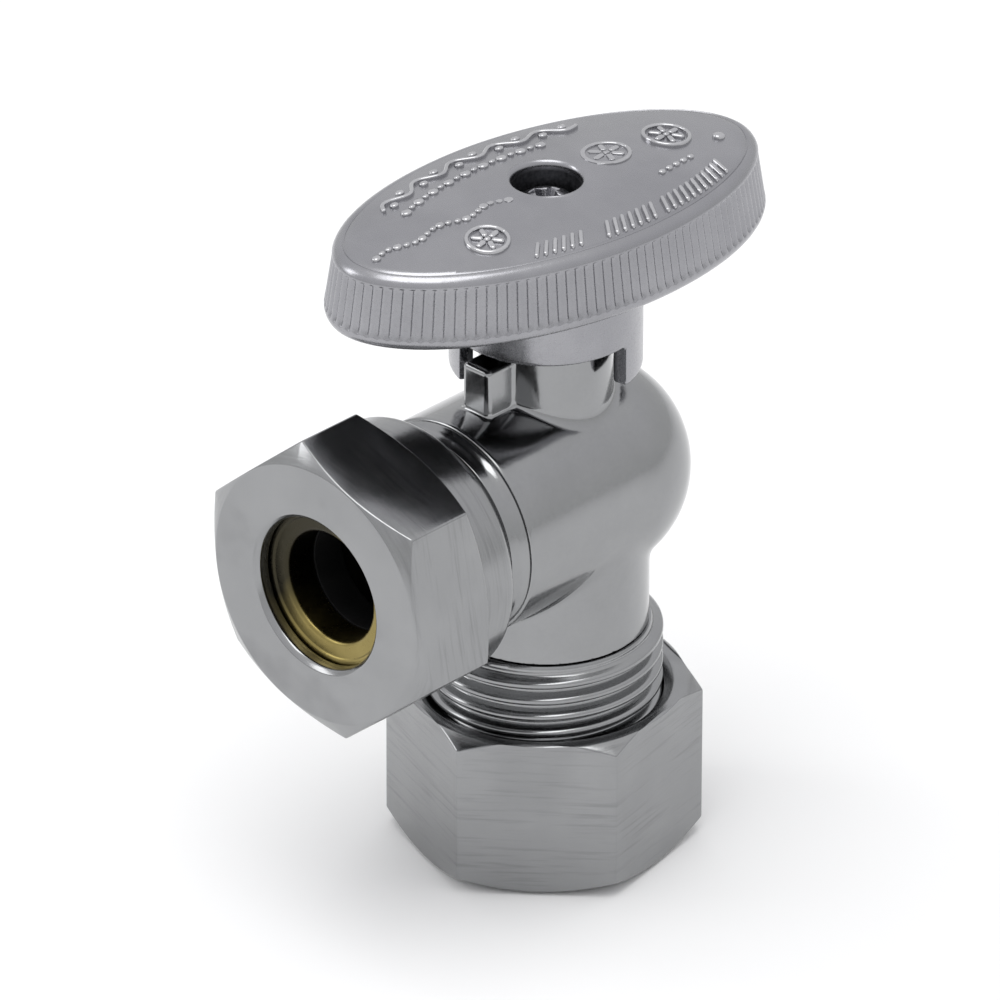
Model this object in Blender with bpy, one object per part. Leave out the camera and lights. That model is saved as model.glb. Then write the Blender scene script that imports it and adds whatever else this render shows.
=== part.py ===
"""Quarter-turn angle stop valve, built as its separate pieces.

Frame: metres, +Z up along the stem and the inlet leg, -Y towards the outlet.
The origin is on the stem axis in the plane of the inlet nut's bottom face.
The handle is modelled at the angle it has at rest, a little short of fully open.
"""

import math

import bmesh
import bpy
from mathutils import Matrix, Vector

MM = 0.001

# ---------------------------------------------------------------- dimensions
# All in millimetres. Heights named *_Z are above the origin unless said otherwise.
FLOW_Z = 34.4  # height of the outlet axis

PITCH = 1.5875  # 16 threads to the inch, right-hand
THREAD_CREST_R = 10.25  # outside of the male threads, 13/16 in
THREAD_ROOT_R = 9.35
THREAD_CLEARANCE = 0.15

HEX_FLATS = 23.81  # 15/16 in across flats, both nuts
HEX_CHAMFER_R = 11.75  # radius of the flat left by the 30 degree chamfer
INLET_NUT_TOP_R = 12.3  # the same on the inlet nut, whose ends differ
INLET_NUT_BOTTOM_R = 11.6
HEX_CHAMFER = math.radians(30)

BARREL_R = 9.9
BARREL_FRONT_Y = -11.85
DOME_CENTRE_Y = 3.8
LEG_R = 9.0
LEG_THREAD_TOP_Z = FLOW_Z - 13.3
LEG_END_Z = 7.2
NECK_R = 5.75
NECK_TOP_Z = FLOW_Z + 15.6
CAVITY_R = 7.6
CAVITY_BACK_Y = 6.8
ADAPTER_SOCKET_R = 8.3
ADAPTER_SOCKET_BACK_Y = -7.0
STEM_BORE_R = 3.3

LUG_HALF_WIDTH = 1.6
LUG_REACH = 8.7
LUG_TOP_Z = FLOW_Z + 14.3

TUBE_IN_R = 8.1  # socket for the 5/8 in inlet tube
TUBE_STOP_Z = FLOW_Z - 14.0
FLOW_R = 5.0

ADAPTER_NECK_R = 9.4
ADAPTER_FRONT_Y = -22.1
TUBE_OUT_R = 6.6  # the room for the riser tube's end
RISER_HOLE_R = 5.0  # through the ring and washer, for a 3/8 in riser tube

INLET_NUT_HEIGHT = 14.8
OUTLET_NUT_FRONT_Y = -28.15
OUTLET_NUT_HEX_BACK_Y = -19.3
OUTLET_NUT_BACK_Y = -15.6
COLLAR_R = 11.67
INLET_NUT_TURN = 40.7  # degrees, a corner of the hexagon from +X towards +Y
OUTLET_NUT_TURN = 40.64  # degrees, a corner of the hexagon from +X towards +Z

BALL_R = 6.3
BALL_PORT_R = 3.8

HANDLE_A = 22.3  # half length of the oval at its widest, just above the base
HANDLE_B = 12.08  # half width there
OVAL_POWER = 1.93  # a little more pointed than an ellipse, which is 2
HANDLE_TURN = 82.5  # degrees from +X to the oval's long axis at rest
HANDLE_BOTTOM_Z = FLOW_Z + 21.35
HANDLE_RIM_Z = FLOW_Z + 27.86
HANDLE_TOP_Z = FLOW_Z + 29.25
HUB_R = 8.3
SKIRT_INNER_R = 7.0
SKIRT_BOTTOM_Z = FLOW_Z + 11.6
SKIRT_CEILING_Z = FLOW_Z + 16.2
WINDOW_TOP_Z = FLOW_Z + 15.4
OPEN_TRAVEL = 4.6  # degrees left to fully open, anticlockwise from above
CLOSE_TRAVEL = 85.4  # degrees to closed, clockwise from above
STOP_GAP = 0.5  # degrees of air at each stop
SCREW_HOLE_R = 3.04

STEM_R = 3.1
STEM_TOP_Z = FLOW_Z + 23.4
STEM_SQUARE = 2.15  # half width of the square


# ---------------------------------------------------------------- helpers
def clear_scene():
    for obj in list(bpy.data.objects):
        bpy.data.objects.remove(obj, do_unlink=True)


def principled(name, colour, roughness, metallic):
    material = bpy.data.materials.new(name)
    material.use_nodes = True
    shader = material.node_tree.nodes["Principled BSDF"]
    shader.inputs["Base Color"].default_value = (*colour, 1.0)
    shader.inputs["Roughness"].default_value = roughness
    shader.inputs["Metallic"].default_value = metallic
    material.diffuse_color = (*colour, 1.0)
    return material


def object_from(bm, name, material=None):
    """A mesh object from a bmesh in millimetres, with its faces pointing out."""
    bmesh.ops.scale(bm, vec=(MM, MM, MM), verts=bm.verts)
    bmesh.ops.recalc_face_normals(bm, faces=bm.faces)
    mesh = bpy.data.meshes.new(name)
    bm.to_mesh(mesh)
    bm.free()
    if material:
        mesh.materials.append(material)
        mesh.shade_smooth()
        mesh.set_sharp_from_angle(angle=math.radians(35))
    obj = bpy.data.objects.new(name, mesh)
    bpy.context.collection.objects.link(obj)
    return obj


def circle(radius):
    return lambda angle: (radius * math.cos(angle), radius * math.sin(angle))


def oval(inset):
    """The handle's outline, moved in by a distance."""

    def at(angle):
        c, s = math.cos(angle), math.sin(angle)
        power = 2 / OVAL_POWER
        return (
            (HANDLE_A - inset) * math.copysign(abs(c) ** power, c),
            (HANDLE_B - inset) * math.copysign(abs(s) ** power, s),
        )

    return at


def blend(one, two, share):
    """An outline part of the way from one outline to another."""

    def at(angle):
        (x0, y0), (x1, y1) = one(angle), two(angle)
        return (x0 + (x1 - x0) * share, y0 + (y1 - y0) * share)

    return at


def square(half):
    """A square outline read at an angle, so that it joins on to circles."""

    def at(angle):
        reach = half / max(abs(math.cos(angle)), abs(math.sin(angle)))
        return (reach * math.cos(angle), reach * math.sin(angle))

    return at


def stack(rings, count, closed=False, phase=0.0):
    """A solid from rings along Z, each (outline, height).

    The first and last rings are capped, or joined to each other when the
    section is a closed loop, as it is for a piece with a hole through it.
    """
    bm = bmesh.new()
    rows = []
    for outline, z in rings:
        row = []
        for i in range(count):
            x, y = outline(2 * math.pi * (i + phase) / count)
            row.append(bm.verts.new((x, y, z)))
        rows.append(row)
    pairs = list(zip(rows, rows[1:]))
    if closed:
        pairs.append((rows[-1], rows[0]))
    else:
        bm.faces.new(rows[0])
        bm.faces.new(rows[-1])
    for low, high in pairs:
        for i in range(count):
            j = (i + 1) % count
            bm.faces.new((low[i], low[j], high[j], high[i]))
    return bm


def turned(profile, count, closed=False, phase=0.0):
    """A turned solid about Z from (radius, height) pairs."""
    return stack([(circle(r), z) for r, z in profile], count, closed, phase)


def threaded(before, thread, after, count, closed, female=False):
    """A solid about Z with one threaded length.

    before and after are (radius, height) pairs below and above the thread, in
    order round the section. thread is (low z, high z, radius at the ends,
    other radius, run-out). Rows follow the helix, and are cut off by the two
    end planes, where the thread has faded to the end radius. A female thread
    has its ridges at the heights of the male thread's grooves.
    """
    low, high, end_r, other_r, runout = thread
    shift = 0.5 if female else 0.0

    def radius(z, angle):
        part = (z / PITCH - angle / (2 * math.pi) + shift) % 1.0
        wave = 1.0 - abs(2.0 * part - 1.0)  # 0 at the end radius, 1 at the other
        fade = min(1.0, max(0.0, (z - low) / runout), max(0.0, (high - z) / runout))
        return end_r + (other_r - end_r) * wave * fade

    bm = bmesh.new()
    found = {}

    def vertex(i, z):
        i %= count
        z = min(max(z, low), high)
        key = (i, round(z, 5))
        if key not in found:
            angle = 2 * math.pi * i / count
            r = radius(z, angle)
            found[key] = bm.verts.new((r * math.cos(angle), r * math.sin(angle), z))
        return found[key]

    per_turn = 2
    first = math.floor(low / PITCH) - 1
    rows = int(math.ceil((high - low) / PITCH) + 3) * per_turn
    for i in range(count):
        for j in range(rows):
            corners = []
            for di, dj in ((0, 0), (1, 0), (1, 1), (0, 1)):
                z = (first + (j + dj) / per_turn + (i + di) / count) * PITCH
                corner = vertex(i + di, z)
                if corner not in corners:
                    corners.append(corner)
            if len(corners) > 2:
                bm.faces.new(corners)

    def ring(r, z):
        return [
            bm.verts.new(
                (
                    r * math.cos(2 * math.pi * i / count),
                    r * math.sin(2 * math.pi * i / count),
                    z,
                )
            )
            for i in range(count)
        ]

    start = [vertex(i, low) for i in range(count)]
    end = [vertex(i, high) for i in range(count)]
    chain = [ring(r, z) for r, z in before] + [start]
    tail = [end] + [ring(r, z) for r, z in after]
    pairs = list(zip(chain, chain[1:])) + list(zip(tail, tail[1:]))
    if closed:
        pairs.append((tail[-1], chain[0]))
    else:
        bm.faces.new(chain[0])
        bm.faces.new(tail[-1])
    for one, two in pairs:
        for i in range(count):
            j = (i + 1) % count
            bm.faces.new((one[i], one[j], two[j], two[i]))
    return bm


def box(low, high):
    bm = bmesh.new()
    centre = [(a + b) / 2 for a, b in zip(low, high)]
    size = [b - a for a, b in zip(low, high)]
    bmesh.ops.create_cube(
        bm, size=1.0, matrix=Matrix.Translation(centre) @ Matrix.Diagonal((*size, 1.0))
    )
    return bm


def lay_along_y(bm):
    """Turns a solid made along Z so that its +Z points along +Y."""
    bmesh.ops.rotate(
        bm,
        cent=(0, 0, 0),
        matrix=Matrix.Rotation(math.radians(-90), 3, "X"),
        verts=bm.verts,
    )
    return bm


def move(bm, x=0.0, y=0.0, z=0.0):
    bmesh.ops.translate(bm, vec=(x, y, z), verts=bm.verts)
    return bm


def spin(bm, degrees):
    bmesh.ops.rotate(
        bm,
        cent=(0, 0, 0),
        matrix=Matrix.Rotation(math.radians(degrees), 3, "Z"),
        verts=bm.verts,
    )
    return bm


def boolean(obj, bm, operation, name):
    """Adds a Boolean to obj with a helper made from bm."""
    helper = object_from(bm, name)
    helper.hide_render = True
    helper.display_type = "WIRE"
    modifier = obj.modifiers.new(name, "BOOLEAN")
    modifier.operation = operation
    modifier.object = helper
    modifier.solver = "EXACT"
    return helper


# ---------------------------------------------------------------- the pieces
def make_valve_body(material):
    """Barrel, inlet leg, bonnet neck and stop lug in one forging."""
    dome_steps = 7
    barrel = [(BARREL_R - 0.3, BARREL_FRONT_Y), (BARREL_R, BARREL_FRONT_Y + 0.3)]
    barrel += [(BARREL_R, DOME_CENTRE_Y)]
    for k in range(1, dome_steps + 1):
        angle = k / (dome_steps + 0.6) * math.pi / 2
        barrel.append(
            (BARREL_R * math.cos(angle), DOME_CENTRE_Y + BARREL_R * math.sin(angle))
        )
    body = object_from(
        move(lay_along_y(turned(barrel, 40)), z=FLOW_Z), "valve_body", material
    )
    leg = threaded(
        before=[(THREAD_ROOT_R - 0.15, LEG_END_Z)],
        thread=(
            LEG_END_Z + 0.3,
            LEG_THREAD_TOP_Z,
            THREAD_ROOT_R,
            THREAD_CREST_R,
            0.5,
        ),
        after=[(LEG_R, LEG_THREAD_TOP_Z + 0.05), (LEG_R, FLOW_Z - 1.0)],
        count=32,
        closed=False,
    )
    boolean(body, leg, "UNION", "leg_shape")
    neck = [(NECK_R + 1.3, FLOW_Z + 6.0), (NECK_R + 1.3, FLOW_Z + 7.2)]
    neck += [(NECK_R + 0.35, FLOW_Z + 8.6), (NECK_R, FLOW_Z + 9.8)]
    neck += [(NECK_R, NECK_TOP_Z - 0.4), (NECK_R - 0.4, NECK_TOP_Z)]
    boolean(body, turned(neck, 32, phase=0.5), "UNION", "neck_shape")
    lug = box(
        (-LUG_HALF_WIDTH, -LUG_REACH, FLOW_Z + 3.0), (LUG_HALF_WIDTH, -2.0, LUG_TOP_Z)
    )
    boolean(body, lug, "UNION", "lug_shape")

    # Barrel bore: the adapter's socket, then the seats' and the ball's room.
    bore = [(ADAPTER_SOCKET_R, BARREL_FRONT_Y - 3.0)]
    bore += [(ADAPTER_SOCKET_R, ADAPTER_SOCKET_BACK_Y)]
    bore += [(CAVITY_R, ADAPTER_SOCKET_BACK_Y), (CAVITY_R, CAVITY_BACK_Y)]
    boolean(
        body,
        move(lay_along_y(turned(bore, 40, phase=0.5)), z=FLOW_Z),
        "DIFFERENCE",
        "barrel_bore",
    )
    # Inlet: ferrule seat, tube socket with its stop, and the way to the ball.
    way = [(8.95 + 0.8, LEG_END_Z - 3.0), (8.95, LEG_END_Z), (TUBE_IN_R, 10.4)]
    way += [(TUBE_IN_R, TUBE_STOP_Z), (FLOW_R, TUBE_STOP_Z + 0.8), (FLOW_R, FLOW_Z)]
    boolean(body, turned(way, 32, phase=0.5), "DIFFERENCE", "inlet_bore")
    # Stem: a pocket for the flange and thrust washer, then the bore.
    stem_way = [(4.05, FLOW_Z + 5.0), (4.05, FLOW_Z + 9.3), (STEM_BORE_R, FLOW_Z + 9.3)]
    stem_way += [(STEM_BORE_R, NECK_TOP_Z + 2.0)]
    boolean(body, turned(stem_way, 24), "DIFFERENCE", "stem_bore")
    return body


def make_adapter(material):
    """End fitting, made along Z with its front at low z, then laid along Y."""
    front, shoulder, back = ADAPTER_FRONT_Y, BARREL_FRONT_Y - 0.1, -7.15
    outside = [(ADAPTER_NECK_R, -16.2), (ADAPTER_NECK_R, shoulder), (8.15, shoulder)]
    outside += [(8.15, -10.2), (7.0, -10.2), (7.0, -8.7), (8.15, -8.7), (8.15, back)]
    inside = [(4.6, back), (4.6, -12.6), (TUBE_OUT_R, -13.0), (TUBE_OUT_R, -18.6)]
    inside += [(7.2, -19.5), (8.6, front)]
    bm = threaded(
        before=[(THREAD_ROOT_R - 0.15, front)],
        thread=(front + 0.3, -16.3, THREAD_ROOT_R, THREAD_CREST_R, 0.5),
        after=outside + inside,
        count=32,
        closed=True,
    )
    return object_from(move(lay_along_y(bm), z=FLOW_Z), "outlet_adapter", material)


def hex_bar(low, high, turn):
    """Plain hexagonal bar along Z."""
    corner_r = HEX_FLATS / 2 / math.cos(math.pi / 6)
    bm = bmesh.new()
    rows = []
    for z in (low, high):
        rows.append(
            [
                bm.verts.new(
                    (
                        corner_r * math.cos(math.radians(turn + 60 * k)),
                        corner_r * math.sin(math.radians(turn + 60 * k)),
                        z,
                    )
                )
                for k in range(6)
            ]
        )
    bm.faces.new(rows[0])
    bm.faces.new(rows[1])
    for k in range(6):
        j = (k + 1) % 6
        bm.faces.new((rows[0][k], rows[0][j], rows[1][j], rows[1][k]))
    return bm


def chamfer_form(low, low_r, high, high_r):
    """The turned form that trims a hexagon's corners to 30 degree cones."""
    reach, slope = 15.5, math.tan(HEX_CHAMFER)
    lower = [(low_r, low), (reach, low + (reach - low_r) * slope)]
    return lower + [(reach, high - (reach - high_r) * slope), (high_r, high)]


def make_inlet_nut(material):
    top = INLET_NUT_HEIGHT
    nut = object_from(hex_bar(0.0, top, INLET_NUT_TURN), "inlet_nut", material)
    boolean(
        nut,
        turned(chamfer_form(0.0, INLET_NUT_BOTTOM_R, top, INLET_NUT_TOP_R), 48),
        "INTERSECT",
        "inlet_nut_chamfers",
    )
    # Tube hole, ferrule seat and the threads, which open in a countersunk mouth.
    mouth = THREAD_CREST_R + THREAD_CLEARANCE
    hole = threaded(
        before=[(8.65, -0.5), (8.15, 0.5), (8.15, 3.0), (9.0, 4.3), (9.3, 4.3), (9.3, 6.2)],
        thread=(6.6, top - 0.6, mouth, THREAD_ROOT_R + THREAD_CLEARANCE, 0.5),
        after=[(mouth + 0.9, top + 0.3)],
        count=32,
        closed=False,
        female=True,
    )
    boolean(nut, hole, "DIFFERENCE", "inlet_nut_hole")
    return nut


def make_outlet_nut(material):
    """Made along Z with its front face at low z, then laid along Y."""
    front, hex_back, back = (
        OUTLET_NUT_FRONT_Y,
        OUTLET_NUT_HEX_BACK_Y,
        OUTLET_NUT_BACK_Y,
    )
    # Laying along Y sends +Y of the bar to -Z, so the turn changes its sign.
    nut = object_from(
        move(lay_along_y(hex_bar(front, hex_back, -OUTLET_NUT_TURN)), z=FLOW_Z),
        "outlet_nut",
        material,
    )
    form = turned(chamfer_form(front, HEX_CHAMFER_R, hex_back, HEX_CHAMFER_R), 48)
    boolean(nut, move(lay_along_y(form), z=FLOW_Z), "INTERSECT", "outlet_nut_chamfers")
    collar = [(COLLAR_R, front + 3.0), (COLLAR_R, back - 0.5), (COLLAR_R - 0.4, back)]
    boolean(
        nut,
        move(lay_along_y(turned(collar, 40)), z=FLOW_Z),
        "UNION",
        "outlet_nut_collar",
    )
    mouth = THREAD_CREST_R + THREAD_CLEARANCE
    hole = threaded(
        before=[(7.8, front - 0.5), (6.9, front + 0.4), (6.9, front + 1.45), (9.5, front + 1.45)],
        thread=(-22.7, back - 0.6, mouth, THREAD_ROOT_R + THREAD_CLEARANCE, 0.5),
        after=[(mouth + 0.75, back + 0.3)],
        count=32,
        closed=False,
        female=True,
    )
    boolean(
        nut, move(lay_along_y(hole), z=FLOW_Z), "DIFFERENCE", "outlet_nut_hole"
    )
    return nut


def make_handle(material):
    """Oval handle with its hub, skirt and hollow underside."""
    low, top = HANDLE_BOTTOM_Z, HANDLE_TOP_Z
    ceiling = FLOW_Z + 26.2
    hole = circle(SCREW_HOLE_R + 0.4)
    rings = [
        (oval(0.45), low),
        (oval(0.0), low + 0.85),
        (oval(0.75), FLOW_Z + 27.0),
        (oval(1.05), FLOW_Z + 27.5),
        (oval(1.5), HANDLE_RIM_Z),
        (blend(oval(1.5), hole, 0.45), HANDLE_RIM_Z + 0.95),
        (hole, top),
        (circle(SCREW_HOLE_R), top - 0.4),
        (circle(SCREW_HOLE_R), FLOW_Z + 25.3),
        (circle(1.8), FLOW_Z + 25.3),
        (circle(1.8), FLOW_Z + 23.7),
        (square(STEM_SQUARE + 0.12), FLOW_Z + 23.7),
        (square(STEM_SQUARE + 0.12), SKIRT_CEILING_Z),
        (circle(SKIRT_INNER_R), SKIRT_CEILING_Z),
        (circle(SKIRT_INNER_R), SKIRT_BOTTOM_Z),
        (circle(HUB_R - 0.4), SKIRT_BOTTOM_Z),
        (circle(HUB_R - 0.05), SKIRT_BOTTOM_Z + 0.35),
        (circle(HUB_R), ceiling),
        (oval(2.35), ceiling),
        (oval(1.75), low),
    ]
    handle = object_from(
        spin(stack(rings, 48, closed=True), HANDLE_TURN), "handle", material
    )
    # Stop window: the lug's half angle at the skirt's bore, the travel and the gap.
    lug = math.degrees(math.asin(LUG_HALF_WIDTH / SKIRT_INNER_R)) + STOP_GAP
    start, end = -90 - lug - OPEN_TRAVEL, -90 + lug + CLOSE_TRAVEL
    window = bmesh.new()
    rows = []
    steps = 8
    for z in (SKIRT_BOTTOM_Z - 2.0, WINDOW_TOP_Z):
        for r in (5.9, 10.0):
            rows.append(
                [
                    window.verts.new(
                        (
                            r * math.cos(math.radians(start + (end - start) * k / steps)),
                            r * math.sin(math.radians(start + (end - start) * k / steps)),
                            z,
                        )
                    )
                    for k in range(steps + 1)
                ]
            )
    low_in, low_out, high_in, high_out = rows
    for k in range(steps):
        window.faces.new((low_in[k], low_in[k + 1], low_out[k + 1], low_out[k]))
        window.faces.new((high_in[k], high_in[k + 1], high_out[k + 1], high_out[k]))
        window.faces.new((low_in[k], low_in[k + 1], high_in[k + 1], high_in[k]))
        window.faces.new((low_out[k], low_out[k + 1], high_out[k + 1], high_out[k]))
    for k in (0, steps):
        window.faces.new((low_in[k], low_out[k], high_out[k], high_in[k]))
    boolean(handle, window, "DIFFERENCE", "stop_window")
    return handle


def make_handle_screw(material):
    head_low, head_top = FLOW_Z + 25.4, FLOW_Z + 27.9
    profile = [(1.5, FLOW_Z + 17.0), (1.5, head_low), (2.65, head_low)]
    profile += [(2.65, head_top - 0.8), (2.2, head_top - 0.2), (1.4, head_top)]
    screw = object_from(turned(profile, 24), "handle_screw", material)
    cross = box((-1.6, -0.4, head_top - 1.3), (1.6, 0.4, head_top + 1.0))
    spin(cross, HANDLE_TURN + 20.0)
    boolean(screw, cross, "DIFFERENCE", "drive_slot_a")
    cross = box((-0.4, -1.6, head_top - 1.3), (0.4, 1.6, head_top + 1.0))
    spin(cross, HANDLE_TURN + 20.0)
    boolean(screw, cross, "DIFFERENCE", "drive_slot_b")
    return screw


def make_stem(material):
    """Stem: tang, flange, two O-ring grooves, square and tapped hole."""
    z = FLOW_Z
    groove = 2.0
    rings = [
        (circle(3.75), z + 6.6),
        (circle(3.75), z + 8.3),
        (circle(STEM_R), z + 8.3),
        (circle(STEM_R), z + 10.2),
        (circle(groove), z + 10.2),
        (circle(groove), z + 11.6),
        (circle(STEM_R), z + 11.6),
        (circle(STEM_R), z + 12.8),
        (circle(groove), z + 12.8),
        (circle(groove), z + 14.2),
        (circle(STEM_R), z + 14.2),
        (circle(STEM_R), z + 15.8),
        (square(STEM_SQUARE), z + 16.0),
        (square(STEM_SQUARE), STEM_TOP_Z),
        (circle(1.7), STEM_TOP_Z),
        (circle(1.7), z + 15.5),
    ]
    stem = object_from(
        spin(stack(rings, 24), HANDLE_TURN), "stem", material
    )
    tang = box((-2.9, -1.0, z + 4.9), (2.9, 1.0, z + 7.2))
    boolean(stem, spin(tang, HANDLE_TURN), "UNION", "stem_tang")
    return stem


def make_ball(material):
    """Ball with an L-shaped way, from below to the outlet, and the tang's slot."""
    steps = 12
    profile = []
    for k in range(steps + 1):
        angle = -math.pi / 2 + math.pi * (k + 0.5) / (steps + 1)
        profile.append((BALL_R * math.cos(angle), FLOW_Z + BALL_R * math.sin(angle)))
    ball = object_from(turned(profile, 28), "ball", material)
    down = turned([(BALL_PORT_R, FLOW_Z - 10.0), (BALL_PORT_R, FLOW_Z + 1.6)], 20)
    boolean(ball, down, "DIFFERENCE", "ball_port_down")
    side = turned([(BALL_PORT_R - 0.05, -10.0), (BALL_PORT_R - 0.05, 1.1)], 20, phase=0.5)
    side = move(lay_along_y(side), z=FLOW_Z)
    boolean(ball, spin(side, -OPEN_TRAVEL), "DIFFERENCE", "ball_port_side")
    slot = box((-9.0, -1.15, FLOW_Z + 4.65), (9.0, 1.15, FLOW_Z + 9.0))
    boolean(ball, spin(slot, HANDLE_TURN), "DIFFERENCE", "ball_slot")
    return ball


def make_seat(name, sign, material):
    """Seat ring about Y, hollowed to the ball. sign is -1 in front, +1 behind."""
    near, far, r_in, r_out = 4.0, 6.7, 3.9, 7.4
    relief = BALL_R + 0.1

    def on_ball(r):
        return math.sqrt(relief * relief - r * r)

    profile = [(r_in, far), (r_out, far), (r_out, near)]
    profile += [(math.sqrt(relief**2 - near**2), near), (4.5, on_ball(4.5))]
    profile += [(r_in, on_ball(r_in))]
    profile = [(r, sign * y) for r, y in profile]
    bm = turned(profile, 28, closed=True)
    return object_from(move(lay_along_y(bm), z=FLOW_Z), name, material)


def make_o_ring(name, ring_r, section_r, height, material, count=20):
    sides = 6
    profile = [
        (
            ring_r + section_r * math.cos(2 * math.pi * k / sides),
            height + section_r * math.sin(2 * math.pi * k / sides),
        )
        for k in range(sides)
    ]
    bm = turned(profile, count, closed=True)
    if name == "adapter_o_ring":
        lay_along_y(bm)
        move(bm, z=FLOW_Z)
    return object_from(bm, name, material)


def make_thrust_washer(material):
    z = FLOW_Z
    profile = [(3.25, z + 8.4), (3.85, z + 8.4), (3.85, z + 9.15), (3.25, z + 9.15)]
    return object_from(turned(profile, 24, closed=True), "stem_thrust_washer", material)


def make_ferrule(material):
    """Compression sleeve, tapered at both ends."""
    profile = [(8.0, 3.35), (8.2, 3.35), (8.75, 4.6), (8.75, 6.3), (8.3, 8.9), (8.0, 8.9)]
    return object_from(turned(profile, 32, closed=True), "inlet_ferrule", material)


def make_friction_ring(material):
    low, high = -26.55, -23.2
    inner = RISER_HOLE_R
    profile = [(inner + 0.2, low), (9.3, low), (9.3, high), (inner, high), (inner, low + 0.2)]
    bm = turned(profile, 32, closed=True)
    return object_from(move(lay_along_y(bm), z=FLOW_Z), "friction_ring", material)


def make_joint_washer(material):
    """Rubber washer: a flat rim and a tapered nose towards the adapter."""
    inner = RISER_HOLE_R
    profile = [(inner, -23.05), (9.2, -23.05), (9.2, -22.3), (8.2, -22.3)]
    profile += [(8.2, -21.9), (7.05, -19.8), (inner, -19.8)]
    bm = turned(profile, 32, closed=True)
    return object_from(move(lay_along_y(bm), z=FLOW_Z), "slip_joint_washer", material)


def hang_on(axis_name, location, pieces):
    """An empty on a joint's axis, with the pieces that move about it."""
    empty = bpy.data.objects.new(axis_name, None)
    empty.location = Vector(location) * MM
    empty.empty_display_size = 0.01
    bpy.context.collection.objects.link(empty)
    bpy.context.view_layer.update()
    for piece in pieces:
        piece.parent = empty
        piece.matrix_parent_inverse = empty.matrix_world.inverted()


def main():
    clear_scene()
    chrome = principled("chrome", (0.62, 0.63, 0.64), 0.16, 1.0)
    satin = principled("satin_chrome", (0.56, 0.55, 0.57), 0.32, 1.0)
    brass = principled("brass", (0.66, 0.5, 0.2), 0.28, 1.0)
    steel = principled("screw_steel", (0.45, 0.45, 0.46), 0.3, 1.0)
    rubber = principled("rubber", (0.012, 0.012, 0.012), 0.6, 0.0)
    ptfe = principled("ptfe", (0.86, 0.86, 0.84), 0.45, 0.0)

    make_valve_body(chrome)
    make_adapter(chrome)
    inlet_nut = make_inlet_nut(chrome)
    outlet_nut = make_outlet_nut(chrome)
    handle = make_handle(satin)
    screw = make_handle_screw(steel)
    stem = make_stem(brass)
    ball = make_ball(chrome)
    make_seat("outlet_seat", -1, ptfe)
    make_seat("rear_seat", 1, ptfe)
    washer = make_thrust_washer(ptfe)
    lower = make_o_ring("stem_o_ring_lower", 2.66, 0.55, FLOW_Z + 10.9, rubber)
    upper = make_o_ring("stem_o_ring_upper", 2.66, 0.55, FLOW_Z + 13.5, rubber)
    make_o_ring("adapter_o_ring", 7.62, 0.55, -9.45, rubber, 28)
    ferrule = make_ferrule(brass)
    ring = make_friction_ring(brass)
    joint_washer = make_joint_washer(rubber)

    hang_on("stem_axis", (0, 0, FLOW_Z), [handle, screw, stem, ball, washer, lower, upper])
    hang_on("inlet_axis", (0, 0, 0), [inlet_nut, ferrule])
    hang_on(
        "outlet_axis",
        (0, OUTLET_NUT_FRONT_Y, FLOW_Z),
        [outlet_nut, ring, joint_washer],
    )


main()
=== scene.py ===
import math

import bpy
import numpy as np
from mathutils import Matrix, Vector


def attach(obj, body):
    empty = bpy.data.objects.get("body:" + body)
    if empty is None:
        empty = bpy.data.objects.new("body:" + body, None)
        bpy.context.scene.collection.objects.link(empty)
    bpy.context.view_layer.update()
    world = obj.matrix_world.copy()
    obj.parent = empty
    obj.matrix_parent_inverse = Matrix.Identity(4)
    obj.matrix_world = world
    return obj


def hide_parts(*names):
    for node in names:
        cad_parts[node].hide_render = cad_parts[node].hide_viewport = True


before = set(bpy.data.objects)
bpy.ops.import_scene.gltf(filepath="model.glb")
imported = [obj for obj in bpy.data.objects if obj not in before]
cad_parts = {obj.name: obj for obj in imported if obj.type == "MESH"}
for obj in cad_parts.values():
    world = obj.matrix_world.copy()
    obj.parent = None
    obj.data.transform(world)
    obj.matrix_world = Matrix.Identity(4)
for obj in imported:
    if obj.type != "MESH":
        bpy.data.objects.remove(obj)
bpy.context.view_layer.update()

# Everything below is in millimetres until a mesh is made. "rel" heights are above the flow axis.
MM = 0.001
FLOW = 34.4
PITCH = 1.5875
TAU = 2 * math.pi


# ---------------------------------------------------------------- meshes from arrays
def signed_volume(verts, quads, tris):
    total = 0.0
    for one, two, three in ((0, 1, 2), (0, 2, 3)):
        if len(quads):
            a, b, c = verts[quads[:, one]], verts[quads[:, two]], verts[quads[:, three]]
            total += float(np.einsum("ij,ij->i", a, np.cross(b, c)).sum())
    if len(tris):
        a, b, c = verts[tris[:, 0]], verts[tris[:, 1]], verts[tris[:, 2]]
        total += float(np.einsum("ij,ij->i", a, np.cross(b, c)).sum())
    return total


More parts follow.
